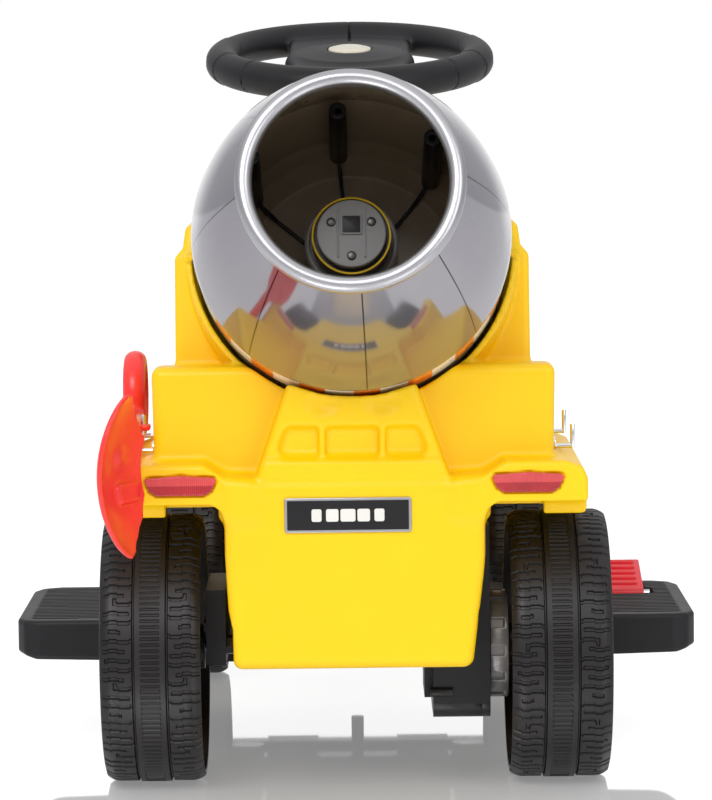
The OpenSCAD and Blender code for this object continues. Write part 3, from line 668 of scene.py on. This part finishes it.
def hood_shell(p):
    """Cab front: hood, dash hump and front fenders."""
    low, high = corners("front_body")
    nose = high[1]
    q = both(p)
    side = slab(q, "X", [(low[1], 128), (low[1], 212), (150, 212), (170, 296), (195, 327.5),
                         (282, 343.4), (316, 318), (348, 262), (nose, 215), (nose, 128)],
                -90, 90, 5)
    wide = block(q, (-90, low[1] - 20, 184), (72, nose + 20, 360), 12)
    narrow = block(q, (-90, low[1] - 20, 100), (52, nose + 20, 230), 6)
    body = smooth_max(side, smooth_min(wide, narrow, 6), 8)
    fender = slab(q, "X", [(150, 185), (156, 208), (170, 218), (325, 218), (344, 208),
                           (350, 185)], -high[0], high[0], 5)
    body = smooth_min(body, fender, 8)
    body = cut(body, block(q, (76, 154, 150), (high[0] - 4, 346, 188), 3), 1.5)
    body = cut(body, block(q, (-90, 134, 100), (48, 358, 150), 3), 1)
    crease = slab(q, "X", [(206, 300), (206, 304), (336, 270), (336, 266)], 70.6, 90, 0.8)
    body = cut(body, crease, 1.5)
    s = local(p, STEER)
    body = cut(body, block(s, (-56, -34, -124), (56, 28, -100), 2), 1)
    for x in (-100, 100):
        lamp = rod(p, "Y", (x, 200), 14.3)
        body = cut(body, np.maximum(lamp, 343 - p[..., 1]), 0.8)
    return cut(body, np.maximum(rod(s, "Z", (0, 0), 11), s[..., 2] + 60), 1)


def field_piece(name, field, node, material, body, coarse=1.0, grow=0.0):
    """A piece meshed from a distance field, in place of one CAD node."""
    low, high = corners(node)
    mesh = meshed(field, low - grow, high + grow, FINE * coarse)
    link(name, mesh, material, body, node)


# ---- drum


def build_drum():
    rim_at = 122.0
    swell = [(DRUM_R + (MOUTH_R + 1.5 - DRUM_R) * t + 4.6 * math.sin(math.pi * t),
              2.2 + (rim_at - 6.2) * t, 0) for t in np.linspace(0, 1, 17)]
    cone = rounded([(DRUM_R, 0.4)] + swell + [(MOUTH_R - 1.5, rim_at - 4),
                                              (DRUM_R - 3, 0.4)], 0.4, 2)
    link("drum_cone", turned(cone, DRUM, 192), cone_material(), "drum", "drum_rear_cone",
         slot="mirror_plastic")
    bead = [(MOUTH_R + 5 * math.cos(a), rim_at + 5 * math.sin(a))
            for a in np.arange(28) * 2 * math.pi / 28]
    link("drum_bead", turned(bead, DRUM, 160, sharp=80), SILVER, "drum", "drum_rim")
    band = rounded([(DRUM_R - 1, -30), (DRUM_R - 1, -0.6), (DRUM_R - 3.5, -0.6),
                    (DRUM_R - 3.5, -30)], 0.5, 2)
    link("drum_band_ring", turned(band, DRUM, 192), band_material(), "drum", "drum_band",
         slot="silver_plastic")
    front = rounded([(DRUM_R - 1, -30.2), (88.5, -96, 8), (82, -109, 8), (69, -118, 6),
                     (28.7, -118), (28.7, -115), (68, -115, 5), (79.5, -107, 7), (86, -95, 7),
                     (DRUM_R - 3.5, -30.2)], 0.5, 4)
    link("drum_front", turned(front, DRUM, 160), front_material(), "drum",
         "drum_front_shell", slot="drum_inner_plastic")
    boss = rounded([(2.0, -1), (5.3, -1), (5.6, -102), (2.0, -102)], 0.5, 2)
    rib = rounded([(29, -115.6), (29, -112), (60, -112), (76, -102), (70, -115.6)], 0.8)
    gusset = [(82, -98), (83, -34), (91, -34), (86.2, -94)]
    meshes = []
    for i in range(8):
        place = DRUM @ spin(5.5 + 45 * i, "Z")
        meshes += [turned(boss, place @ moved((78.5, 0, 0)), 32),
                   prism(rib, -1.1, 1.1, "Y", 0.4, place=place),
                   prism(gusset, -0.9, 0.9, "Y", 0.3, place=place)]
    link("drum_screw_tubes", joined(meshes), BLACK, "drum", slot="drum_inner_plastic")
    sleeve = rounded([(20.2, -119), (28.5, -119), (28.5, -22, 1), (27.3, -20, 0.6), (25.6, -20),
                      (25.6, -24), (20.2, -24)], 0.4, 3)
    link("drum_collar", turned(sleeve, DRUM, 96), SILVER_IN_PAINTED_SHADE, "drum", "drum_sleeve")


def drum_coordinates(tree):
    """Object coordinates turned into the drum's own frame, in metres."""
    mapping = tree.nodes.new("ShaderNodeMapping")
    mapping.vector_type = "TEXTURE"
    set_inputs(mapping, Location=DRUM_AT * MM, Rotation=(math.radians(DRUM_TILT), 0, 0))
    feed(coordinates(tree), mapping, "Vector")
    return split_xyz(mapping.outputs["Vector"])


def axis_distance_squared(split):
    squares = [math_node("MULTIPLY", split[a], split[a]) for a in "XY"]
    return math_node("ADD", *squares)


def split_xyz(vector):
    """The X, Y and Z outputs of a vector."""
    node = vector.id_data.nodes.new("ShaderNodeSeparateXYZ")
    feed(vector, node, "Vector")
    return node.outputs


def math_node(operation, *values):
    """A Math node on numbers and other nodes' outputs."""
    source = next(v for v in values if not isinstance(v, (int, float)))
    node = source.id_data.nodes.new("ShaderNodeMath")
    node.operation = operation
    for i, value in enumerate(values):
        if isinstance(value, (int, float)):
            node.inputs[i].default_value = value
        else:
            feed(value, node, i)
    return node.outputs["Value"]


def angle_phase(split, lines, offset):
    """0 at each of the evenly spaced angles about the drum's axis, rising to 0.5 between."""
    angle = math_node("ARCTAN2", split["Y"], split["X"])
    turn = math_node("MULTIPLY_ADD", angle, lines / (2 * math.pi), offset)
    wrapped = math_node("FRACT", turn)
    centred = math_node("SUBTRACT", wrapped, 0.5)
    return math_node("SUBTRACT", 0.5, math_node("ABSOLUTE", centred))


def mix_colour(factor, low, high):
    """One colour where the factor is 0 and another where it is 1."""
    node = factor.id_data.nodes.new("ShaderNodeMix")
    node.data_type = "RGBA"
    feed(factor, node, "Factor")
    for socket, value in ((node.inputs["A"], low), (node.inputs["B"], high)):
        if isinstance(value, tuple):
            socket.default_value = (*value, 1)
        else:
            value.id_data.links.new(value, socket)
    return node.outputs["Result"]


def cone_material():
    """Mirror-bright silver plastic with thin radial moulding lines; dark inside."""
    material, tree, shader = new_material("mirror_cone")
    split = drum_coordinates(tree)
    phase = angle_phase(split, 8, -8 * 5 / 360)
    radius = math_node("SQRT", axis_distance_squared(split))
    reach = math_node("MULTIPLY", math_node("MULTIPLY", phase, math.pi / 4), radius)
    line = math_node("LESS_THAN", reach, 0.00045)
    seam = math_node("LESS_THAN", split["Z"], 0.0012)
    wall = math_node("MULTIPLY_ADD", split["Z"], -(DRUM_R - MOUTH_R) / 118,
                     (DRUM_R - 1.2) * MM)
    inner = math_node("LESS_THAN", radius, wall)
    noise = object_noise(tree, 9.0, detail=3.0)
    base = ramp(noise, (0.29, 0.28, 0.31), (0.33, 0.32, 0.35))
    lined = mix_colour(line, base, (0.05, 0.05, 0.055))
    edged = mix_colour(seam, lined, (0.60, 0.60, 0.62))
    feed(mix_colour(inner, edged, (0.40, 0.32, 0.22)), shader, "Base Color")
    outer = math_node("SUBTRACT", 1.0, inner)
    feed(math_node("MULTIPLY", outer, 0.74), shader, "Metallic")
    feed(math_node("MULTIPLY_ADD", inner, 0.28, 0.10), shader, "Roughness")
    ripple = object_noise(tree, 22.0, detail=1.0)
    add_bump(shader, ripple, 0.12, 0.002)
    set_inputs(shader, Coat_Weight=0.1, Coat_Roughness=0.05)
    return material


def front_material():
    """Silver paint on the outside of the drum's closed end, warm dark plastic inside."""
    material, tree, shader = new_material("drum_end")
    outward = tree.nodes.new("ShaderNodeVectorMath")
    outward.operation = "SUBTRACT"
    outward.inputs[1].default_value = tuple((DRUM @ Vector((0, 0, -60))) * MM)
    feed(coordinates(tree), outward, 0)
    facing = tree.nodes.new("ShaderNodeVectorMath")
    facing.operation = "DOT_PRODUCT"
    feed(outward.outputs["Vector"], facing, 0)
    feed(coordinates(tree, "Normal"), facing, 1)
    outer = math_node("GREATER_THAN", facing.outputs["Value"], 0.0)
    noise = object_noise(tree, 40.0)
    inside = ramp(noise, (0.37, 0.295, 0.20), (0.42, 0.335, 0.235))
    feed(mix_colour(outer, inside, (0.40, 0.40, 0.42)), shader, "Base Color")
    feed(math_node("MULTIPLY", outer, 0.8), shader, "Metallic")
    feed(span(noise, 0.28, 0.36), shader, "Roughness")
    return material


def band_material():
    """Cylindrical band with an orange and cream block label between silver edges."""
    material, tree, shader = new_material("label_band")
    split = drum_coordinates(tree)
    phase = angle_phase(split, 18, 0.25)
    blocks = math_node("GREATER_THAN", phase, 0.24)
    low = math_node("GREATER_THAN", split["Z"], -0.024)
    high = math_node("LESS_THAN", split["Z"], -0.004)
    label = math_node("MULTIPLY", low, high)
    noise = object_noise(tree, 40.0)
    orange = ramp(noise, (0.78, 0.20, 0.02), (0.88, 0.27, 0.03))
    pattern = mix_colour(blocks, orange, (0.80, 0.76, 0.62))
    outer = math_node("GREATER_THAN", axis_distance_squared(split),
                      ((DRUM_R - 2) * MM) ** 2)
    printed = mix_colour(label, (0.42, 0.42, 0.44), pattern)
    feed(mix_colour(outer, (0.40, 0.32, 0.22), printed), shader, "Base Color")
    bare = math_node("SUBTRACT", outer, label)
    feed(math_node("MULTIPLY", bare, 0.8), shader, "Metallic")
    feed(span(noise, 0.22, 0.34), shader, "Roughness")
    return material


def build_spindle():
    body = rounded([(0, -126), (34, -126), (34, -122), (20, -122, 2), (20, -18), (0, -18)], 0.8)
    link("spindle_post", turned(body, DRUM, 96), YELLOW, "truck", "drum_spindle")
    nut = rounded([(0, -17.9), (24, -17.9, 1), (24, -3, 0.6), (22.6, -2, 0.5), (22.6, -4),
                   (0, -4)], 0.0)
    link("spindle_collar", turned(nut, DRUM, 96), BLACK, "truck", "spindle_nut")
    bead = rounded([(22.7, -3.6), (24.1, -3.6), (24.1, -1.9), (22.7, -1.9)], 0.6, 3)
    link("spindle_bead", turned(bead, DRUM, 96), YELLOW, "truck")
    cap = rounded([(0, -3.8), (20.5, -3.8, 0.4), (21, 3.6, 0.9), (0, 3.6)], 0.0)
    meshes = [turned(cap, DRUM, 96)]
    for x in (-8.2, 8.2):
        line = rounded(rectangle(x - 0.6, -15, x + 0.6, 16), 0.5)
        meshes.append(prism(line, 3.4, 4.5, "Z", 0.3, place=DRUM))
    latch = rounded(rectangle(-6.6, -1, 6.6, 11.6), 1.2)
    meshes.append(prism(latch, 3.4, 4.7, "Z", 0.3, place=DRUM))
    link("spindle_disc", joined(meshes), SILVER_IN_PAINTED_SHADE, "truck", "spindle_cap")
    # The latch's recess is not cut: a thin black sheet on the latch is painted shade in place of
    # the dark inside of the recess.
    painted_recess_shade = rounded(rectangle(-5.4, 0.2, 5.4, 10.5), 0.8)
    link("latch_recess_painted_shade", prism(painted_recess_shade, 4.6, 4.9, "Z", 0.08, place=DRUM), BLACK, "truck")
    head = rounded([(0, 3.4), (2.8, 3.4), (2.8, 4.8, 0.7), (0, 5.2)], 0.0)
    screws = [turned(head, DRUM @ spin(angle, "Z") @ moved((14, 0, 0)), 24)
              for angle in (30, 150, 270)]
    link("spindle_screw_heads", joined(screws), SCREW_DARK, "truck", "spindle_screws")


# ---- wheels


def tread_height(angle, across):
    """How far the tread is cut below the wheel's radius, in millimetres."""
    w = np.abs(across - (WHEEL_OUT - WHEEL_IN) / 2)
    left = across < (WHEEL_OUT - WHEEL_IN) / 2
    fine = angle * 144 / (2 * math.pi) % 1
    depth = np.where((w < 5.6) & (fine > 0.42), 0.9, 0.0)
    depth = np.where((w >= 9.5) & (w < 11), 2.2, depth)
    turn = angle * 90 / (2 * math.pi) + np.where(left, 0.0, 0.5) + 0.05 * np.sin(w / 2)
    number, part = np.floor(turn).astype(int) % 9, turn % 1
    first = np.array([11.0, 12.0, 15.0, 11.0, 18.0, 11.0, 13.0, 11.0, 16.0])[number]
    last = np.array([31.0, 27.0, 31.0, 31.0, 25.0, 31.0, 31.0, 22.0, 31.0])[number]
    slot = (part < 0.36) & (w > first) & (w < last)
    hook = (np.abs(w - last + 0.8) < 0.8) & (last < 23) & (part < 0.75)
    side = w >= 11
    depth = np.where(side, 0.25, depth)
    return np.where(side & (slot | hook), 1.5, depth)


def wheel_mesh():
    """One wheel about local X with its outer side toward +X and its inner face at 0."""
    segments = 720
    width = WHEEL_OUT - WHEEL_IN
    across = np.linspace(0.6, width - 0.6, 96)
    w = np.abs(across - width / 2)
    shoulder = WHEEL_R - 3.0 * (np.maximum(w - 22, 0) / 8.2) ** 2.2 - 0.2 * (w > 9.5)
    angle = np.arange(segments)[:, None] * 2 * math.pi / segments
    radius = shoulder[None, :] - tread_height(angle, across[None, :])
    outer_side = rounded([(80.0, width), (75, width, 2), (71, width - 4, 3), (66, 42, 5),
                          (54, 38, 4), (49, 45, 3), (30, 46.5, 3), (27.5, 46.0)], 1.0, 3)[1:]
    hub = [(27.5, 46.0), (14, 46.0), (14, 45.8), (5.2, 45.8), (5.2, 0.4), (14, 0.4), (14, 42)]
    inner_side = rounded([(27.5, 42), (49, 41, 3), (57, 34.5, 3), (64, 37, 3), (71, 53, 2),
                          (77, 53, 2), (77, 0.6), (80.0, 0.0)], 0.8, 3)[1:]
    ring_r, ring_w = np.array(outer_side + hub + inner_side).T
    total = len(across) + len(ring_r)
    rad = np.concatenate([radius, np.broadcast_to(ring_r, (segments, len(ring_r)))], 1)
    x = np.broadcast_to(np.concatenate([across, ring_w]), rad.shape)
    points = np.stack([x, rad * np.cos(angle), rad * np.sin(angle)], -1).reshape(-1, 3)
    i = np.arange(segments)[:, None] * total
    j = ((np.arange(segments) + 1) % segments)[:, None] * total
    k = np.arange(total)[None, :]
    m = (k + 1) % total
    quads = np.stack([i + k, j + k, j + m, i + m], -1).reshape(-1, 4)
    return to_mesh(points, quads.tolist(), 38)


def spoke_mesh():
    """Raised ribs on the wheel's dish."""
    outline = rounded([(28, 45), (31, 50.5, 2), (60, 46, 4), (69.5, 54.5), (66, 42),
                       (54, 38)], 0.8)
    swap_xz = Matrix(((0, 0, 1, 0), (0, 1, 0, 0), (1, 0, 0, 0), (0, 0, 0, 1)))
    return joined([prism(outline, -5, 5, "Y", 1.6, place=spin(60 * i, "X") @ swap_xz)
                   for i in range(6)])


def cap_mesh():
    """Domed hub cap about local X."""
    dome = rounded([(0, 56), (18, 55), (20.5, 46.2), (27, 46.2, 1), (27, 50, 2),
                    (23.5, 51, 1.5), (21.5, 57.5, 3), (12, 59.4, 4), (0, 60)], 0.5, 3)
    return turned(dome, spin(90, "Y"), 72)


def build_wheels():
    parts = {"tyre": (wheel_mesh(), TREAD, "wheel"), "spokes": (spoke_mesh(), YELLOW, None),
             "cap": (cap_mesh(), SILVER, "hub_cap")}
    for kind, (mesh, material, _) in parts.items():
        mesh.name = kind
        mesh.materials.append(material)
    for end, y in (("rear", AXLE_Y), ("front", FRONT_Y)):
        for side, sign in SIDES:
            place = moved(Vector((sign * WHEEL_IN, y, WHEEL_R)) * MM)
            if sign < 0:
                place = place @ spin(180, "Z")
            for kind, (mesh, _, node) in parts.items():
                piece = new_object(f"{kind}_{end}_{side}", mesh)
                piece.matrix_world = place
                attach(piece, f"wheel_{end}_{side}")
                if node:
                    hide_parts(f"{node}_{end}_{side}")


# ---- steering wheel


def steering_shell(p):
    """Rim, broad hub and two side openings."""
    q = local(p, STEER)
    ring = STEER_R - 11.5
    radial = rod(q, "Z", (0, 0), 0)
    rim = np.sqrt(((radial - ring) / 11.5) ** 2 + (q[..., 2] / 11.6) ** 2)
    rim = (rim - 1) * 11.0
    s = both(q)
    plate = slab(s, "Z", [(-60, -ring), (33, -ring), (38, -60), (44, 0), (44, 60),
                          (36, ring), (-60, ring)], -11, 3, 4)
    plate = np.maximum(plate, radial - ring)
    body = smooth_min(rim, plate, 6)
    hub = lathed(q, [(0, -14), (44, -12), (46, -2), (38, 5), (20, 8), (0, 8)], 3)
    body = smooth_min(body, hub, 6)
    neck = lathed(q, [(0, -34), (16, -34), (19, -10), (0, -10)], 2)
    body = smooth_min(body, neck, 4)
    grip = block(s, (ring - 12.5, -34, -12.2), (ring + 11.5, 34, 12.2), 5)
    grip = np.maximum(grip, rim - 0.55)
    seams = 1e3
    for a in np.radians([90, 222, 318]):
        d = q[..., 0] * math.sin(a) - q[..., 1] * math.cos(a)
        along = q[..., 0] * math.cos(a) + q[..., 1] * math.sin(a)
        seams = np.minimum(seams, np.maximum(np.abs(d) - 0.55, 60 - along))
    body = np.minimum(body, grip)
    body = cut(body, np.maximum(seams, -(rim + 0.7)), 0.5)
    well = np.maximum(radial - 15.9, -1 - q[..., 2])
    body = cut(body, well, 0.8)
    bore = np.maximum(radial - 8.3, q[..., 2] + 12)
    return cut(body, bore, 0.5)


def build_steering():
    field_piece("steering_rim", steering_shell, "steering_wheel", BLACK_SOFT, "steering",
                grow=1)
    disc = rounded([(0, 1.8), (15.3, 1.8), (15.3, 8.6, 1.0), (10, 9.8, 5), (0, 10.2)], 0.4, 4)
    link("horn_disc", turned(disc, STEER, 72), CREAM, "horn_button", "horn_button")


# ---- shovel


def shovel_shell(p):
    """Scoop curved both ways, round shaft, ring grip and two hanging tabs."""
    at, radius = np.array((-70, -328, 206), np.float32), 78.5
    outline = [(-342, 197), (-342, 215), (-339, 233), (-331, 247), (-320, 254), (-308, 252),
               (-294, 244), (-282, 233), (-275, 224), (-275, 190), (-282, 177), (-294, 167),
               (-308, 159), (-320, 157), (-331, 164), (-339, 179)]
    leaf = slab(p, "X", outline, -190, -100, 4)
    around = np.abs(np.linalg.norm(p - at, axis=-1) - radius)
    blade = smooth_max(around - 1.5, leaf, 2)
    rib = block(p, (-152, -300, 187), (-128, -276, 199), 3)
    blade = smooth_min(blade, smooth_max(rib, around - 4, 2), 2)
    shaft = tube(p, (-143, -293, 215), (-143, -55, 215), 7)
    body = smooth_min(blade, shaft, 5)
    ring = rod(p, "X", (-31.5, 229), 22.8)
    grip = np.sqrt(ring ** 2 + ((p[..., 0] + 143) * 0.86) ** 2) - 6.2
    body = smooth_min(body, grip, 5)
    for y in (-205, -110):
        tab = block(p, (-145, y - 6, 213), (-129.5, y + 6, 217), 1.5)
        body = smooth_min(body, tab, 1.5)
        body = cut(body, rod(p, "Z", (-134, y), 2.75), 0.5)
    return body


# ---- seat, pedal and trim


def seat_shell(p):
    """Saddle with a shallow dish, cross grooves and room for its hinge pin."""
    low, high = corners("seat")
    q = both(p)
    side = slab(q, "X", [(low[1], low[2]), (low[1], 236), (-60, 242), (-48, 236), (-30, 230),
                         (20, 227.5), (90, 228), (112, 233), (120, 233), (125, 226),
                         (125, low[2])], -90, 90, 4)
    body = smooth_max(side, block(q, (-90, low[1] - 20, low[2] - 9), (high[0], 140, 260), 9), 5)
    dish = np.sqrt((q[..., 0] / 55) ** 2 + ((q[..., 1] - 28) / 70) ** 2
                   + ((q[..., 2] - 231) / 7) ** 2) - 1
    body = cut(body, dish * 6, 4)
    for y in (-14, 10, 34, 58, 82):
        groove = block(q, (-60, y - 1.1, 220), (46, y + 1.1, 260), 0.8)
        top = np.maximum(groove, -(body + 1.3))
        body = cut(body, top, 0.8)
    body = cut(body, slab(q, "X", [(-62, 200), (-62, 233), (-50, 231), (-30, 222), (90, 220),
                                   (106, 222), (106, 200)], -73, 73, 2), 1)
    body = cut(body, block(q, (60, 107, 200), (73, 127, 226), 1), 0.8)
    return cut(body, rod(q, "X", (119, 217), 2.3), 0.4)


def pedal_mesh():
    """Wedge with five ridges, on a hinge barrel."""
    x0, x1 = (corner[0] for corner in corners("accelerator_pedal"))
    wedge = rounded([(35, 87.2), (83.5, 101.3, 1.2), (85, 100, 0.8), (85, 94), (81.5, 93.4),
                     (81.5, 96), (42, 85.4), (41.6, 84.5), (34.6, 84.5)], 0.6, 3)
    meshes = [prism(wedge, x0, x1, "X")]
    slope = math.atan2(14.1, 48.5)
    for i in range(5):
        y = 42.5 + i * 8.6
        z = 87.2 + (y - 35) * math.tan(slope)
        rib = rounded([(y, z - 0.5), (y, z + 1.6, 0.9), (y + 3.2, z + 2.6, 0.9),
                       (y + 3.2, z + 0.5)], 0.2, 3)
        meshes.append(prism(rib, x0 + 4, x1 - 4, "X", 0.9))
    barrel = rounded(rectangle(2.15, x0 + 0.2, 3.6, x1 - 0.2), 0.3, 2)
    meshes.append(turned(barrel, moved((0, 38, 84.5)) @ spin(90, "Y"), 32))
    return joined(meshes)


def lens_material():
    """Red lens: pale upper band, dark lower band and fine upright ribs."""
    material, tree, shader = new_material("red_lens")
    split = split_xyz(coordinates(tree))
    upper = math_node("GREATER_THAN", split["Z"], 0.1945)
    noise = object_noise(tree, 60.0)
    low = ramp(noise, (0.36, 0.012, 0.018), (0.46, 0.018, 0.026))
    high = ramp(noise, (0.60, 0.055, 0.060), (0.70, 0.075, 0.080))
    feed(mix_colour(upper, low, high), shader, "Base Color")
    wave = math_node("SINE", math_node("MULTIPLY", split["X"], 5200.0))
    add_bump(shader, wave, 0.5, 0.0003)
    set_inputs(shader, Roughness=0.24, Coat_Weight=0.3, Coat_Roughness=0.06)
    return material


def build_trim():
    """Tail lights, rear plate, pedal and headlights."""
    lens = lens_material()
    for side, sign in SIDES:
        outline = inset_outline(np.array(rounded(ccw(lamp_outline(sign)), 2.0, 3)), 0.9)
        mesh = prism(outline, TAIL_Y - 1.6, TAIL_Y + 1.4, "Y", 1.0, 4)
        link(f"tail_lens_{side}", mesh, lens, "truck", f"tail_light_{side}", slot="red_lens")
    (x0, y0, z0), (x1, y1, z1) = corners("plate_frame")
    border = 1.6
    outer = prism(rounded(rectangle(x0, z0, x1, z1), 1.5), y0 + 0.6, y1 + 0.3, "Y", 0.5)
    link("plate_border", outer, SILVER, "truck", "plate_frame")
    inner = rectangle(x0 + border, z0 + border, x1 - border, z1 - border)
    face = prism(rounded(inner, 0.6), y0 + 0.25, y1, "Y", 0.2, 2)
    link("plate_face", face, BLACK, "truck", "rear_plate")
    middle, bars = (x0 + x1) / 2, []
    for i, w in enumerate((6.0, 7.5, 9.0, 7.5, 6.0)):
        x = middle + (i - 2) * 9.4
        bar = rounded(rectangle(x - w / 2, 172.2, x + w / 2, 179.8), 1.2)
        bars.append(prism(bar, y0 - 0.05, y0 + 0.4, "Y", 0.15, 2))
    link("plate_bars", joined(bars), NYLON, "truck")
    link("pedal_red", pedal_mesh(), RED, "accelerator_pedal", "accelerator_pedal")
    dome = rounded([(0, -8), (14, -8), (14, 0, 1), (13, 2.2, 1.5), (6, 4, 3), (0, 4.4)], 0.3, 3)
    for side, sign in SIDES:
        mesh = turned(dome, moved((sign * 100, 355.0, 200)) @ spin(-90, "X"), 64)
        piece = link(f"headlamp_{side}", mesh, LAMP_CLEAR, "truck")
    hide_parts("headlights")


CARRIED = {
    BLACK: ("grille", "gearbox_case", "gearbox_cover", "charge_socket", "tie_rod",
            "knuckle_left", "knuckle_right", "direction_switch"),
    BLACK_SOFT: ("chassis", "front_bumper", "dashboard"),
    STEEL: ("rear_axle", "axle_washers", "motor", "body_screws", "pedal_pin", "seat_pin",
            "steering_column", "stub_axle_left", "stub_axle_right", "motor_pinion"),
    NYLON: ("column_bush", "output_gear"),
    CHROME: ("tool_hooks",), BATTERY: ("battery",), GREY: ("drive_hub",),
    RED: ("power_button",), BLUE: ("music_button",),
}
PLAIN_EDGES = {"output_gear", "motor_pinion"}


def dress_carried():
    """Gives each CAD node that stays its material, and softens its edges."""
    for material, node in ((m, node) for m, nodes in CARRIED.items() for node in nodes):
        piece = frame["nodes"][node]
        if not piece.material_slots:
            piece.data.materials.append(None)
        for s in piece.material_slots:
            s.link = "OBJECT"
            s.material = material
        if node in PLAIN_EDGES:
            continue
        merge = piece.modifiers.new("merge", "WELD")
        merge.merge_threshold = 0.00002
        soften = piece.modifiers.new("soften", "BEVEL")
        soften.width = 0.0007
        soften.segments = 2
        soften.limit_method = "ANGLE"
        soften.angle_limit = math.radians(35)
        soften.harden_normals = True


# ---- stage


def area_light(name, at, size, power):
    """A rectangular light in metres and watts, aimed at the toy."""
    data = bpy.data.lights.new(name, "AREA")
    data.shape = "RECTANGLE"
    data.size, data.size_y = size
    data.energy = power
    lamp = new_object(name, data)
    lamp.location = at
    lamp.rotation_mode = "QUATERNION"
    lamp.rotation_quaternion = (Vector((0, 0, 0.2)) - Vector(at)).to_track_quat("-Z", "Y")


def build_surroundings(tree):
    """Studio around the toy: white backdrop and ceiling, dimmer room behind the camera."""
    split = split_xyz(coordinates(tree, "Generated"))
    back = ramp(split["Y"], (0.50, 0.50, 0.52), (1, 1, 1), 0.90, 0.985)
    top = ramp(split["Z"], (0, 0, 0), (1, 1, 1), 0.30, 0.80)
    feed(mix_colour(top, back, (0.95, 0.95, 0.95)), tree.nodes["Background"], "Color")


def floor_material():
    """Glossy white sheet, lit from below."""
    material, tree, shader = new_material("floor_white")
    noise = object_noise(tree, 3.0)
    feed(ramp(noise, (0.95, 0.95, 0.95), (0.97, 0.97, 0.97)), shader, "Base Color")
    feed(span(noise, 0.02, 0.04), shader, "Roughness")
    set_inputs(shader, Metallic=0.5, Emission_Color=(1, 1, 1, 1), Emission_Strength=0.22)
    return material


def build_stage():
    scene = bpy.context.scene
    scene.view_settings.view_transform = "Standard"
    scene.view_settings.look = "None"
    world = bpy.data.worlds.new("studio")
    scene.world = world
    world.use_nodes = True
    build_surroundings(world.node_tree)
    mesh = bpy.data.meshes.new("floor")
    mesh.from_pydata([(-30, -30, 0), (30, -30, 0), (30, 30, 0), (-30, 30, 0)], [],
                     [(0, 1, 2, 3)])
    mesh.materials.append(floor_material())
    new_object("floor", mesh)
    area_light("key", (-0.9, -2.6, 2.2), (1.8, 1.4), 46)
    area_light("fill", (1.6, -2.4, 1.4), (1.2, 1.6), 16)
    camera_data = bpy.data.cameras.new("camera")
    camera = scene.camera = new_object("camera", camera_data)
    camera_data.sensor_width = 36
    camera_data.lens = 176.9
    camera_data.clip_end = 100
    looking_down, roll = 5.045, -0.68
    camera.matrix_world = (moved((0.0016, AXLE_Y * MM - 2.43, 0.451))
                           @ spin(90 - looking_down, "X") @ spin(roll, "Z"))


# ---- assembly

field_piece("rear_shell", rear_shell, "rear_body", YELLOW, "truck")
field_piece("tub_shell", tub_shell, "seat_tub", YELLOW, "truck", 1.3)
field_piece("hood_shell", hood_shell, "front_body", YELLOW, "truck", 1.2)
build_drum()
build_spindle()
build_wheels()
build_steering()
field_piece("shovel_red", shovel_shell, "shovel", SHOVEL_RED, "shovel", 0.8)
field_piece("seat_black", seat_shell, "seat", BLACK_SOFT, "seat")
for end, sign in SIDES:
    field_piece(f"step_{end}", footrest_field(sign), f"footrest_{end}", BLACK_SOFT, "truck",
                0.9)
build_trim()
dress_carried()
build_stage()
